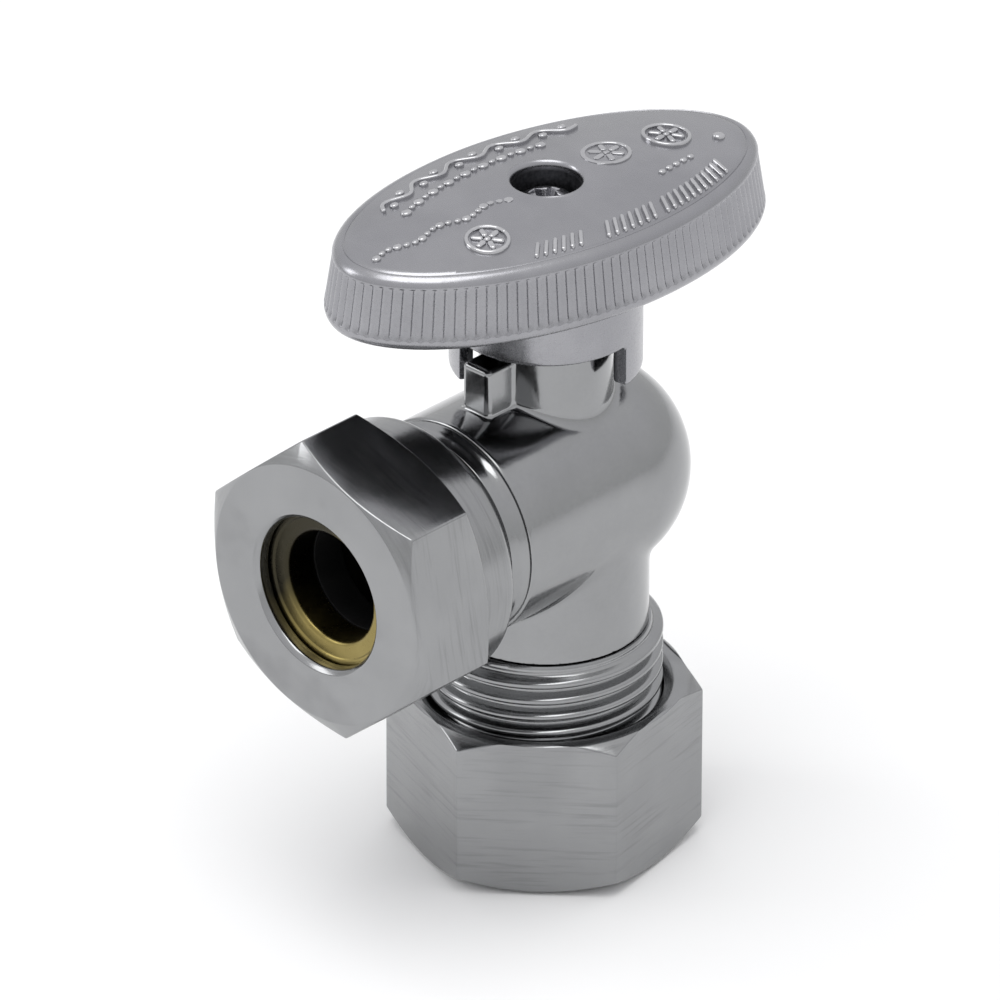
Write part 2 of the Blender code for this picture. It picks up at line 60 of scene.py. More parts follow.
def mesh_from(name, verts, quads=(), tris=(), normals=None, sharp=32.0, caps=()):
    """A mesh in metres from arrays in millimetres, turned to face outwards. caps are whole polygons."""
    verts = np.asarray(verts, float).reshape(-1, 3)
    quads = np.asarray(quads, np.int64).reshape(-1, 4)
    tris = np.asarray(tris, np.int64).reshape(-1, 3)
    more = [[cap[0], cap[k], cap[k + 1]] for cap in caps for k in range(1, len(cap) - 1)]
    both = np.concatenate([tris, np.array(more, np.int64).reshape(-1, 3)])
    if signed_volume(verts, quads, both) < 0:
        quads, tris = quads[:, ::-1], tris[:, ::-1]
        caps = [list(cap)[::-1] for cap in caps]
    loops = [quads.ravel(), tris.ravel()] + [np.array(cap, np.int64) for cap in caps]
    sizes = np.concatenate(
        [np.full(len(quads), 4), np.full(len(tris), 3), np.array([len(c) for c in caps], int)]
    ).astype(np.int64)
    starts = np.concatenate([[0], np.cumsum(sizes)[:-1]]).astype(np.int32)
    index = np.concatenate(loops).astype(np.int32)
    mesh = bpy.data.meshes.new(name)
    mesh.vertices.add(len(verts))
    mesh.vertices.foreach_set("co", (verts * MM).astype(np.float32).ravel())
    mesh.loops.add(len(index))
    mesh.loops.foreach_set("vertex_index", index)
    mesh.polygons.add(len(starts))
    mesh.polygons.foreach_set("loop_start", starts)
    mesh.update(calc_edges=True)
    mesh.validate()
    mesh.shade_smooth()
    if normals is not None:
        mesh.normals_split_custom_set_from_vertices(normals.astype(np.float32))
    elif sharp is not None:
        mesh.set_sharp_from_angle(angle=math.radians(sharp))
    return mesh


def piece(mesh, material, body, stands_for=()):
    obj = bpy.data.objects.new(mesh.name, mesh)
    bpy.context.scene.collection.objects.link(obj)
    mesh.materials.append(material)
    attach(obj, body)
    if stands_for:
        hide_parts(*stands_for)
    return obj


# ---------------------------------------------------------------- profiles and rings
def soften(points, closed=False, steps=4):
    """Rounds the corners of a section. points are (r, z, reach) with r and z numbers or arrays over the columns; reach is how far from the corner the rounding starts."""
    rows = []
    n = len(points)
    at = [np.stack(np.broadcast_arrays(np.asarray(p[0], float), np.asarray(p[1], float)), -1) for p in points]
    reach = [p[2] if len(p) > 2 else 0.0 for p in points]
    for i in range(n):
        here = at[i]
        if not reach[i] or (not closed and i in (0, n - 1)):
            rows.append(here)
            continue
        for_one, for_two = at[i - 1] - here, at[(i + 1) % n] - here
        one_len = np.linalg.norm(for_one, axis=-1, keepdims=True)
        two_len = np.linalg.norm(for_two, axis=-1, keepdims=True)
        one = here + for_one * np.minimum(reach[i] / np.maximum(one_len, 1e-9), 0.45)
        two = here + for_two * np.minimum(reach[i] / np.maximum(two_len, 1e-9), 0.45)
        for k in range(steps + 1):
            t = k / steps
            rows.append((1 - t) ** 2 * one + 2 * t * (1 - t) * here + t * t * two)
    return rows


def ring_rows(section, phis):
    """(rows, columns, 3) positions about Z from a section of (r, z) rows."""
    out = []
    for row in section:
        r = np.broadcast_to(row[..., 0], phis.shape)
        z = np.broadcast_to(row[..., 1], phis.shape)
        out.append(np.stack([r * np.cos(phis), r * np.sin(phis), z], -1))
    return np.array(out)


def grid_faces(rows, columns, closed, first=0):
    i = np.arange(columns)
    j = (i + 1) % columns
    out = []
    pairs = [(a, a + 1) for a in range(rows - 1)] + ([(rows - 1, 0)] if closed else [])
    for a, b in pairs:
        out.append(
            np.stack([first + a * columns + i, first + a * columns + j, first + b * columns + j, first + b * columns + i], -1)
        )
    return np.concatenate(out)


def even(count):
    return np.arange(count) / count * TAU


def turned_mesh(name, points, count=128, closed=True, lay=False, sharp=32.0, steps=4, **more):
    """A turned piece about Z, or about the flow axis if lay is set."""
    phis = even(count)
    rows = ring_rows(soften(points, closed, steps), phis)
    verts = rows.reshape(-1, 3)
    if lay:
        verts = along_y(verts)
    caps = () if closed else (list(range(count)), list(range(len(verts) - count, len(verts))))
    return mesh_from(name, verts, grid_faces(len(rows), count, closed), caps=caps, sharp=sharp, **more)


def along_y(verts):
    """Lays a piece made about Z along the flow axis, its +Z towards +Y."""
    v = np.asarray(verts, float)
    return np.stack([v[..., 0], v[..., 2], -v[..., 1] + FLOW], -1)


def crest(part):
    """The thread's section over one pitch: 0 at the groove, 1 at the crest, with rounded flats."""
    t = 1.0 - np.abs(2.0 * part - 1.0)
    t = np.clip((t - 0.10) / 0.78, 0.0, 1.0)
    return 0.5 - 0.5 * np.cos(math.pi * (0.62 * t + 0.38 * (t * t * (3 - 2 * t))))


def threaded_mesh(name, before, thread, after, phis, female=False, lay=False, per_turn=14, sharp=38.0):
    """A closed ring with one threaded length. before and after are (rows, columns, 3) about Z, in order round the section."""
    low, high, end_r, other_r, runout = thread
    n = len(phis)
    turn = np.append(phis / TAU, 1.0)
    first = math.floor(low / PITCH) - 1
    count = int(math.ceil((high - low) / PITCH) + 3) * per_turn
    j = np.arange(count + 1)
    z = np.clip((first + j[:, None] / per_turn + turn[None, :]) * PITCH, low, high)
    column = np.broadcast_to(np.arange(n + 1) % n, z.shape)
    key = column.astype(np.int64) * 100_000_000 + np.round((z - low) * 1e5).astype(np.int64)
    unique, where, inverse = np.unique(key.ravel(), return_index=True, return_inverse=True)
    ids = inverse.reshape(z.shape)
    zz = z.ravel()[where]
    phi = phis[column.ravel()[where]]
    wave = crest((zz / PITCH - phi / TAU + (0.5 if female else 0.0)) % 1.0)
    if female:
        # The ridge has the male thread's groove section turned inside out, so the gap stays even.
        wave = 1.0 - crest((zz / PITCH - phi / TAU) % 1.0)
    fade = np.clip(np.minimum((zz - low) / runout, (high - zz) / runout), 0.0, 1.0)
    fade = fade * fade * (3 - 2 * fade)
    r = end_r + (other_r - end_r) * wave * fade
    verts = np.stack([r * np.cos(phi), r * np.sin(phi), zz], -1)
    corners = np.stack([ids[:-1, :-1], ids[:-1, 1:], ids[1:, 1:], ids[1:, :-1]], -1).reshape(-1, 4)
    same = np.stack([corners[:, k] == corners[:, (k + 1) % 4] for k in range(4)], -1)
    whole = ~same.any(1)
    quads = [corners[whole]]
    tris = []
    for row, dup in zip(corners[~whole], same[~whole]):
        if dup.sum() == 1:
            tris.append([int(row[k]) for k in range(4) if not dup[k]])
    start = np.searchsorted(unique, np.arange(n, dtype=np.int64) * 100_000_000)
    end = np.searchsorted(unique, np.arange(n, dtype=np.int64) * 100_000_000 + int(round((high - low) * 1e5)))
    base = len(verts)
    rows_b, rows_a = len(before), len(after)
    chain = [base + k * n + np.arange(n) for k in range(rows_b)] + [start]
    tail = [end] + [base + (rows_b + k) * n + np.arange(n) for k in range(rows_a)]
    pairs = list(zip(chain, chain[1:])) + list(zip(tail, tail[1:])) + [(tail[-1], chain[0])]
    i = np.arange(n)
    k = (i + 1) % n
    for a, b in pairs:
        quads.append(np.stack([a[i], a[k], b[k], b[i]], -1))
    verts = np.concatenate([verts, np.asarray(before).reshape(-1, 3), np.asarray(after).reshape(-1, 3)])
    if lay:
        verts = along_y(verts)
    return mesh_from(name, verts, np.concatenate(quads), tris, sharp=sharp)


# ---------------------------------------------------------------- solids from distance fields
def smin(a, b, k):
    h = np.clip(0.5 + 0.5 * (b - a) / k, 0.0, 1.0)
    return b * (1 - h) + a * h - k * h * (1 - h)


def smax(a, b, k):
    return -smin(-a, -b, k)


def capped(radial, along, half):
    """Exact distance to a cylinder from its radial distance less the radius, and the distance along it from its middle."""
    q = np.abs(along) - half
    return np.minimum(np.maximum(radial, q), 0.0) + np.hypot(np.maximum(radial, 0), np.maximum(q, 0))


def round_box(p, centre, half, radius):
    q = np.abs(p - np.array(centre)) - (np.array(half) - radius)
    outside = np.linalg.norm(np.maximum(q, 0.0), axis=-1)
    return outside + np.minimum(q.max(-1), 0.0) - radius


def field_mesh(name, field, low, high, cell, lift=0.0):
    """A closed mesh on a distance field's zero, by surface nets, with its points moved onto the surface."""
    low, high = np.array(low, float), np.array(high, float)
    size = np.ceil((high - low) / cell).astype(int) + 1
    axes = [low[a] + cell * np.arange(size[a]) for a in range(3)]
    f = np.empty(size, np.float64)
    for i in range(size[0]):  # a slab at a time, to keep memory small
        y, z = np.meshgrid(axes[1], axes[2], indexing="ij")
        f[i] = field(np.stack([np.full_like(y, axes[0][i]), y, z], -1))
    f[np.abs(f) < 1e-7] = 1e-7
    inside = f < 0
    cells = tuple(s - 1 for s in size)
    total = np.zeros((*cells, 3))
    number = np.zeros(cells, int)
    for axis in range(3):
        for du in (0, 1):
            for dv in (0, 1):
                others = [a for a in range(3) if a != axis]
                sl0, sl1 = [slice(0, -1)] * 3, [slice(0, -1)] * 3
                sl1[axis] = slice(1, None)
                for a, d in zip(others, (du, dv)):
                    s = slice(d, d + cells[a])
                    sl0[a] = s
                    sl1[a] = s
                f0, f1 = f[tuple(sl0)], f[tuple(sl1)]
                cross = (f0 < 0) != (f1 < 0)
                t = np.where(cross, f0 / np.where(cross, f0 - f1, 1.0), 0.0)
                number += cross
                total[..., axis] += t * cross
                total[..., others[0]] += du * cross
                total[..., others[1]] += dv * cross
    used = number > 0
    ids = np.full(cells, -1)
    ids[used] = np.arange(used.sum())
    where = np.argwhere(used)
    p = low + cell * (where + total[used] / number[used][:, None])
    centre = low + cell * (where + 0.5)
    for _ in range(5):
        d, g = gradient(field, p)
        step = (d - lift)[:, None] * g / np.maximum((g * g).sum(1, keepdims=True), 1e-6)
        p = p - np.clip(step, -0.6 * cell, 0.6 * cell)
        p = np.clip(p, centre - 0.75 * cell, centre + 0.75 * cell)
    quads = []
    for axis in range(3):
        u, v = [a for a in range(3) if a != axis]
        sl0, sl1 = [slice(None)] * 3, [slice(None)] * 3
        sl0[axis], sl1[axis] = slice(0, -1), slice(1, None)
        a, b = inside[tuple(sl0)], inside[tuple(sl1)]
        at = np.argwhere(a != b)
        ok = np.all([(at[:, w] > 0) & (at[:, w] < size[w] - 1) for w in (u, v)], axis=0)
        at = at[ok]
        eu, ev = np.eye(3, dtype=int)[u], np.eye(3, dtype=int)[v]
        corners = [at - eu - ev, at - ev, at, at - eu]
        quad = np.stack([ids[tuple(c.T)] for c in corners], -1)
        turn = a[tuple(at.T)]
        if axis == 1:
            turn = ~turn
        quad[~turn] = quad[~turn][:, ::-1]
        quads.append(quad)
    _, g = gradient(field, p)
    normals = g / np.maximum(np.linalg.norm(g, axis=1, keepdims=True), 1e-9)
    return p, np.concatenate(quads), normals


def gradient(field, p, eps=0.01):
    d = field(p)
    g = np.empty_like(p)
    for a in range(3):
        q = p.copy()
        q[:, a] += eps
        r = p.copy()
        r[:, a] -= eps
        g[:, a] = (field(q) - field(r)) / (2 * eps)
    return d, g


# ---------------------------------------------------------------- materials
def nodes_of(name):
    material = bpy.data.materials.new(name)
    material.use_nodes = True
    tree = material.node_tree
    shader = tree.nodes["Principled BSDF"]
    return material, tree, shader


def link(tree, a, b):
    tree.links.new(a, b)


def noise(tree, vector, scale, detail=4.0, rough=0.55):
    node = tree.nodes.new("ShaderNodeTexNoise")
    node.inputs["Scale"].default_value = scale
    node.inputs["Detail"].default_value = detail
    node.inputs["Roughness"].default_value = rough
    link(tree, vector, node.inputs["Vector"])
    return node.outputs["Fac"]


def mapped(tree, vector, scale):
    node = tree.nodes.new("ShaderNodeMapping")
    node.inputs["Scale"].default_value = scale
    link(tree, vector, node.inputs["Vector"])
    return node.outputs["Vector"]


def ranged(tree, value, low, high, to_low, to_high):
    node = tree.nodes.new("ShaderNodeMapRange")
    node.inputs["From Min"].default_value = low
    node.inputs["From Max"].default_value = high
    node.inputs["To Min"].default_value = to_low
    node.inputs["To Max"].default_value = to_high
    link(tree, value, node.inputs["Value"])
    return node.outputs["Result"]


def maths(tree, kind, one, two=None):
    node = tree.nodes.new("ShaderNodeMath")
    node.operation = kind
    for slot, value in ((0, one), (1, two)):
        if value is None:
            continue
        if isinstance(value, (int, float)):
            node.inputs[slot].default_value = value
        else:
            link(tree, value, node.inputs[slot])
    return node.outputs["Value"]


def mixed(tree, factor, one, two):
    """A colour mix; one and two are colours or sockets."""
    node = tree.nodes.new("ShaderNodeMix")
    node.data_type = "RGBA"
    if isinstance(factor, (int, float)):
        node.inputs["Factor"].default_value = factor
    else:
        link(tree, factor, node.inputs["Factor"])
    for socket, value in ((node.inputs[6], one), (node.inputs[7], two)):
        if isinstance(value, tuple):
            socket.default_value = (*value, 1.0)
        else:
            link(tree, value, socket)
    return node.outputs[2]


def bumped(tree, shader, heights):
    """Bumps in turn; heights are (socket, strength, distance in metres)."""
    normal = None
    for height, strength, distance in heights:
        node = tree.nodes.new("ShaderNodeBump")
        node.inputs["Strength"].default_value = strength
        node.inputs["Distance"].default_value = distance
        link(tree, height, node.inputs["Height"])
        if normal is not None:
            link(tree, normal, node.inputs["Normal"])
        normal = node.outputs["Normal"]
    link(tree, normal, shader.inputs["Normal"])


def axis_radius(tree, coordinate, axis, centre_z=0.0):
    """Distance from the Z axis, or from the flow axis, in metres."""
    split = tree.nodes.new("ShaderNodeSeparateXYZ")
    link(tree, coordinate, split.inputs["Vector"])
    if axis == "Z":
        a, b = split.outputs["X"], split.outputs["Y"]
    else:
        a, b = split.outputs["X"], maths(tree, "SUBTRACT", split.outputs["Z"], FLOW * MM)
    return maths(tree, "SQRT", maths(tree, "ADD", maths(tree, "MULTIPLY", a, a), maths(tree, "MULTIPLY", b, b))), split


def metal(
    name,
    colour,
    dull,
    rough,
    spread=0.05,
    grain=(1.0, 1.0, 1.0),
    grain_depth=0.25,
    wave_depth=0.0,
    lathe=None,
    painted_inside_shade=None,
    painted_ring_shade=None,
    painted_gap_shade=None,
    streak=0.0,
):
    """Plated or turned metal. colour and dull are the two tones; grain stretches the polishing marks; lathe is the axis
    of turning marks; painted_inside_shade is (axis, radius mm, colour) for painted shade, a near-black, rougher inside
    within that radius; painted_ring_shade is the colour of painted shade over the outlet packing's upper left;
    painted_gap_shade is (y mm, y mm, colour) for painted shade that fades out between two places along the flow axis;
    streak is the strength of coarse drawing marks along the grain.
    """
    material, tree, shader = nodes_of(name)
    shader.inputs["Metallic"].default_value = 1.0
    at = tree.nodes.new("ShaderNodeTexCoord").outputs["Object"]
    broad = noise(tree, at, 160.0, 3.0)
    fine = noise(tree, mapped(tree, at, grain), 2600.0, 3.0, 0.6)
    tone = ranged(tree, maths(tree, "ADD", maths(tree, "MULTIPLY", broad, 0.7), maths(tree, "MULTIPLY", fine, 0.3)), 0.36, 0.64, 0.0, 1.0)
    base = mixed(tree, tone, dull, colour)
    roughness = ranged(tree, maths(tree, "ADD", maths(tree, "MULTIPLY", fine, 0.55), maths(tree, "MULTIPLY", noise(tree, at, 420.0, 4.0), 0.45)), 0.34, 0.66, rough - spread, rough + spread)
    heights = [(fine, grain_depth, 0.000012)]
    if wave_depth:
        heights.append((noise(tree, at, 170.0, 2.0), wave_depth, 0.00045))
    if streak:
        drawn = noise(tree, mapped(tree, at, grain), 1100.0, 3.0, 0.6)
        heights.append((drawn, streak, 0.00003))
        base = mixed(tree, ranged(tree, drawn, 0.52, 0.72, 0.0, 0.35), base, (0.16, 0.16, 0.165))
    if lathe:
        radius, _ = axis_radius(tree, at, lathe)
        join = tree.nodes.new("ShaderNodeCombineXYZ")
        link(tree, radius, join.inputs["X"])
        marks = noise(tree, join.outputs["Vector"], 9000.0, 2.0)
        heights.append((marks, 0.16, 0.00001))
    # Painted shade: inside the given radius the colour goes near black and the surface rougher.
    if painted_inside_shade:
        axis, limit, inside_shade_colour = painted_inside_shade
        radius, _ = axis_radius(tree, at, axis)
        share = ranged(tree, radius, (limit - 0.12) * MM, limit * MM, 1.0, 0.0)
        base = mixed(tree, share, base, inside_shade_colour)
        roughness = maths(tree, "ADD", roughness, maths(tree, "MULTIPLY", share, 0.22))
    # Painted shade: the outlet packing's upper left is darkened towards the given colour.
    if painted_ring_shade:
        _, split = axis_radius(tree, at, "Y")
        height = maths(tree, "SUBTRACT", split.outputs["Z"], FLOW * MM)
        along = maths(tree, "SUBTRACT", maths(tree, "MULTIPLY", height, 0.6), maths(tree, "MULTIPLY", split.outputs["X"], 0.8))
        along = maths(tree, "ADD", along, maths(tree, "MULTIPLY", maths(tree, "SUBTRACT", broad, 0.5), 0.004))
        base = mixed(tree, ranged(tree, along, -0.5 * MM, 3.0 * MM, 0.0, 1.0), base, painted_ring_shade)
    # Painted shade: full darkness up to the first place along the flow axis, fading out by the second.
    if painted_gap_shade:
        low, high, gap_shade_colour = painted_gap_shade
        _, split = axis_radius(tree, at, "Y")
        base = mixed(tree, ranged(tree, split.outputs["Y"], low * MM, high * MM, 1.0, 0.0), base, gap_shade_colour)
    link(tree, base, shader.inputs["Base Color"])
    link(tree, roughness, shader.inputs["Roughness"])
    bumped(tree, shader, heights)
    return material


def rubbery(name, colour, lighter, rough, shine=0.4):
    material, tree, shader = nodes_of(name)
    at = tree.nodes.new("ShaderNodeTexCoord").outputs["Object"]
    fine = noise(tree, at, 2200.0, 4.0)
    broad = noise(tree, at, 260.0, 3.0)
    link(tree, mixed(tree, ranged(tree, broad, 0.35, 0.65, 0.0, 1.0), colour, lighter), shader.inputs["Base Color"])
    link(tree, ranged(tree, fine, 0.3, 0.7, rough - 0.08, rough + 0.08), shader.inputs["Roughness"])
    shader.inputs["Specular IOR Level"].default_value = shine
    bumped(tree, shader, [(fine, 0.35, 0.00002)])
    return material


CHROME = (0.318, 0.322, 0.327)
CHROME_DULL = (0.290, 0.294, 0.299)
M = {}
M["chrome"] = metal("chrome_forged", CHROME, CHROME_DULL, 0.15, 0.035, grain_depth=0.18, wave_depth=0.10)
M["chrome_bore"] = metal("chrome_thread", CHROME, CHROME_DULL, 0.17, 0.04, grain=(1, 1, 3), grain_depth=0.22)
M["chrome_nut_z"] = metal("chrome_nut_upright", CHROME, CHROME_DULL, 0.20, 0.04, grain=(0.12, 0.12, 2.4), grain_depth=0.34, lathe="Z", streak=0.10)
M["chrome_nut_y"] = metal("chrome_nut_outlet", CHROME, CHROME_DULL, 0.20, 0.04, grain=(0.12, 2.4, 0.12), grain_depth=0.40, lathe="Y", streak=0.12)
# The adapter gets painted shade on its inside and on its neck next to the outlet nut's collar.
M["adapter"] = metal("chrome_adapter", CHROME, CHROME_DULL, 0.16, 0.04, lathe="Y", painted_inside_shade=("Y", 8.9, (0.010, 0.0098, 0.0095)), painted_gap_shade=(-15.35, -14.75, (0.12, 0.12, 0.12)))
M["screw"] = metal("screw_steel", (0.42, 0.42, 0.44), (0.31, 0.31, 0.33), 0.27, 0.06, lathe="Z")
# The packing ring's upper left gets painted shade.
M["brass"] = metal("brass_turned", (0.31, 0.25, 0.092), (0.24, 0.19, 0.066), 0.30, 0.05, lathe="Y", painted_ring_shade=(0.040, 0.036, 0.024))
M["brass_z"] = metal("brass_sleeve", (0.46, 0.36, 0.14), (0.37, 0.28, 0.10), 0.28, 0.05, lathe="Z")
M["rubber"] = rubbery("rubber_black", (0.004, 0.004, 0.0045), (0.009, 0.009, 0.0095), 0.68, 0.2)
M["ptfe"] = rubbery("ptfe_white", (0.78, 0.78, 0.76), (0.86, 0.86, 0.84), 0.42)


# ---------------------------------------------------------------- valve body
BARREL_R, DOME_Y = 9.88, 3.8
LEG_R, LEG_SPLIT = 9.0, -13.32
NECK_R, NECK_TOP = 5.75, 15.6


def body_field(p):
    x, y, z = p[..., 0], p[..., 1], p[..., 2] - FLOW
    about_y = np.hypot(x, z)
    about_z = np.hypot(x, y)
    # Barrel: a cylinder to the dome's centre, then the sphere, with a rounded front edge.
    dome = np.sqrt(x * x + np.maximum(y - DOME_Y, 0.0) ** 2 + z * z) - BARREL_R
    front = -11.85 - y
    solid = smax(dome, front, 0.3)
    leg = np.maximum(about_z - LEG_R, z + 1.0)
    neck = smax(about_z - NECK_R, z - NECK_TOP, 0.7)
    neck = np.maximum(neck, 3.0 - z)
    lug = round_box(np.stack([x, y, z], -1), (0, -5.2, 8.55), (1.58, 3.48, 5.73), 0.5)
    solid = smin(solid, leg, 0.5)
    solid = smin(solid, neck, 0.7)
    solid = smin(solid, lug, 0.4)
    # Inside: the barrel's bore, the way up from the inlet, the stem's pocket and bore.
    bore = np.minimum(
        capped(about_y - 8.3, y + 11.5, 4.5), capped(about_y - 7.6, y + 1.0, 7.8)
    )
    way = capped(about_z - 5.0, z + 8.0, 8.0)
    stem = np.minimum(capped(about_z - 4.05, z - 7.15, 2.15), capped(about_z - 3.3, z - 13.0, 5.0))
    hollow = np.minimum(np.minimum(bore, way), stem)
    solid = smax(solid, -hollow, 0.12)
    return smax(solid, LEG_SPLIT - z, 0.1)


def make_body():
    p, quads, normals = field_mesh(
        "valve_body_casting", body_field, (-10.6, -12.4, FLOW - 14.0), (10.6, 14.3, FLOW + 16.2), 0.23
    )
    mesh = mesh_from("valve_body_casting", p, quads, normals=normals)
    piece(mesh, M["chrome"], "valve", ["valve_body"])
    # The inlet's threaded length, which joins on below the leg.
    phis = even(168)
    before = ring_rows(
        soften([(8.1, 10.4), (8.95, 7.2, 0.1), (9.2, 7.2, 0.12), (9.35, 7.5)], steps=3), phis
    )
    split = FLOW + LEG_SPLIT
    after = ring_rows(
        soften([(9.2, 21.03, 0.1), (8.72, 21.03), (8.72, split + 0.1), (5.02, split + 0.1), (5.02, 20.95), (8.1, 20.35, 0.3), (8.1, 15.0)], steps=3), phis
    )
    mesh = threaded_mesh(
        "inlet_thread", before, (7.55, 20.8, 9.35, 10.24, 0.5), after, phis
    )
    piece(mesh, M["chrome_bore"], "valve", ["valve_body"])


def make_adapter():
    phis = even(168)
    before = ring_rows(soften([(8.6, -22.1, 0.1), (9.2, -22.1, 0.12), (9.35, -21.8)], steps=3), phis)
    section = [(9.38, -16.15), (9.38, -14.35, 0.06), (8.98, -14.27, 0.05), (8.98, -13.86, 0.05), (9.38, -13.76, 0.1), (9.38, -12.6, 0.25), (9.68, -12.1, 0.25), (9.68, -11.86, 0.08), (8.15, -11.86, 0.05), (8.15, -10.2), (7.0, -10.2), (7.0, -8.7)]
    section += [(8.15, -8.7), (8.15, -7.15, 0.15), (4.6, -7.15, 0.3), (4.6, -12.6, 0.3), (6.6, -13.0, 0.3)]
    section += [(6.6, -18.6, 0.4), (7.2, -19.5, 0.3), (8.5, -22.0)]
    after = ring_rows(soften(section, steps=3), phis)
    mesh = threaded_mesh("outlet_adapter_turned", before, (-21.75, -16.3, 9.35, 10.24, 0.55), after, phis, lay=True)
    piece(mesh, M["adapter"], "valve", ["outlet_adapter"])


# ---------------------------------------------------------------- nuts
FLATS = 23.81 / 2


def hex_columns(turn):
    """Angles that meet the corners, and the rounded hexagon's radius at each."""
    corner = 0.28  # the corner's rounding
    limit = math.pi / 6 - math.atan((FLATS - corner) * math.tan(math.pi / 6) / FLATS)
    away = np.concatenate([np.linspace(-limit, limit, 7), np.linspace(limit, math.pi / 3 - limit, 30)[1:-1]])
    phis = np.concatenate([math.radians(turn) + k * math.pi / 3 + away for k in range(6)]) % TAU
    phis = np.sort(phis)
    beta = (phis - math.radians(turn) + math.pi / 6) % (math.pi / 3) - math.pi / 6
    flat = FLATS / np.cos(math.pi / 6 - np.abs(beta))
    centre = (FLATS - corner) / math.cos(math.pi / 6)
    arc = centre * np.cos(beta) + np.sqrt(np.maximum(corner**2 - (centre * np.sin(beta)) ** 2, 0.0))
    return phis, np.where(np.abs(beta) < limit, arc, flat)


def make_inlet_nut():
    phis, hexagon = hex_columns(40.7)
    top = 14.8
    slope = math.tan(math.radians(30))
    low_c = (hexagon - 11.6) * slope
    high_c = top - (hexagon - 12.3) * slope
    before = [(8.6, 0.0, 0.18), (8.15, 0.5, 0.2), (8.15, 3.0, 0.2), (9.0, 4.3, 0.15), (9.3, 4.3), (9.3, 6.2, 0.15)]
    after = [(10.4, 14.2, 0.2), (11.25, top, 0.14), (12.3, top, 0.12)]
    after += [(hexagon, high_c, 0.16), (hexagon, 7.4), (hexagon, low_c, 0.16), (11.6, 0.0, 0.12), (10.0, 0.0)]
    b = ring_rows(soften([(9.2, 0.0)] + before + [(10.38, 6.62)], steps=3), phis)
    a = ring_rows(soften([(10.38, 14.18)] + after, steps=3), phis)
    mesh = threaded_mesh("inlet_compression_nut", b, (6.62, 14.18, 10.4, 9.5, 0.5), a, phis, female=True, sharp=34)
    piece(mesh, M["chrome_nut_z"], "inlet_nut", ["inlet_nut"])


def make_outlet_nut():
    phis, hexagon = hex_columns(-40.64)
    front, back, end = -28.15, -19.3, -15.6
    slope = math.tan(math.radians(30))
    low_c = front + (hexagon - 11.75) * slope
    high_c = back - (hexagon - 11.75) * slope
    before = [(7.34, front, 0.14), (6.9, front + 0.44, 0.16), (6.9, front + 1.45, 0.12), (9.5, front + 1.45), (9.5, -22.9)]
    b = ring_rows(soften([(9.0, front)] + before + [(10.38, -22.7)], steps=3), phis)
    after = [(10.45, -16.2, 0.15), (11.1, end, 0.1), (11.24, end, 0.14), (11.67, end - 0.46, 0.3), (11.67, back + 0.02)]
    after += [(11.72, back), (hexagon, high_c, 0.14), (hexagon, -23.7), (hexagon, low_c, 0.16), (11.75, front, 0.12), (10.4, front)]
    a = ring_rows(soften(after, steps=3), phis)
    mesh = threaded_mesh("outlet_slip_nut", b, (-22.7, -16.24, 10.4, 9.5, 0.5), a, phis, female=True, lay=True, sharp=34)
    piece(mesh, M["chrome_nut_y"], "outlet_nut", ["outlet_nut"])


# ---------------------------------------------------------------- packing and inside parts
def make_packing():
    ferrule = [(8.0, 3.35, 0.05), (8.2, 3.35, 0.05), (8.75, 4.6, 0.2), (8.75, 6.3, 0.3), (8.3, 8.9, 0.05), (8.0, 8.9, 0.05)]
    piece(turned_mesh("inlet_sleeve", ferrule, 144), M["brass_z"], "inlet_packing", ["inlet_ferrule"])
    ring = [(6.55, -26.54, 0.1), (9.3, -26.54, 0.1), (9.3, -23.2, 0.1), (5.01, -23.2, 0.1), (5.01, -26.12, 0.3), (5.3, -26.36, 0.2), (6.4, -26.4, 0.06)]
    piece(turned_mesh("outlet_friction_ring", ring, 144, lay=True), M["brass"], "outlet_packing", ["friction_ring"])
    washer = [(5.01, -23.05, 0.1), (9.2, -23.05, 0.1), (9.2, -22.3, 0.1), (8.2, -22.3), (8.2, -21.9, 0.1), (7.05, -19.8, 0.1), (5.01, -19.8, 0.1)]
    piece(turned_mesh("outlet_cone_washer", washer, 144, lay=True), M["rubber"], "outlet_packing", ["slip_joint_washer"])


def circle_section(ring_r, section_r, z, count=20):
    angle = even(count)
    return [(ring_r + section_r * math.cos(a), z + section_r * math.sin(a)) for a in angle]


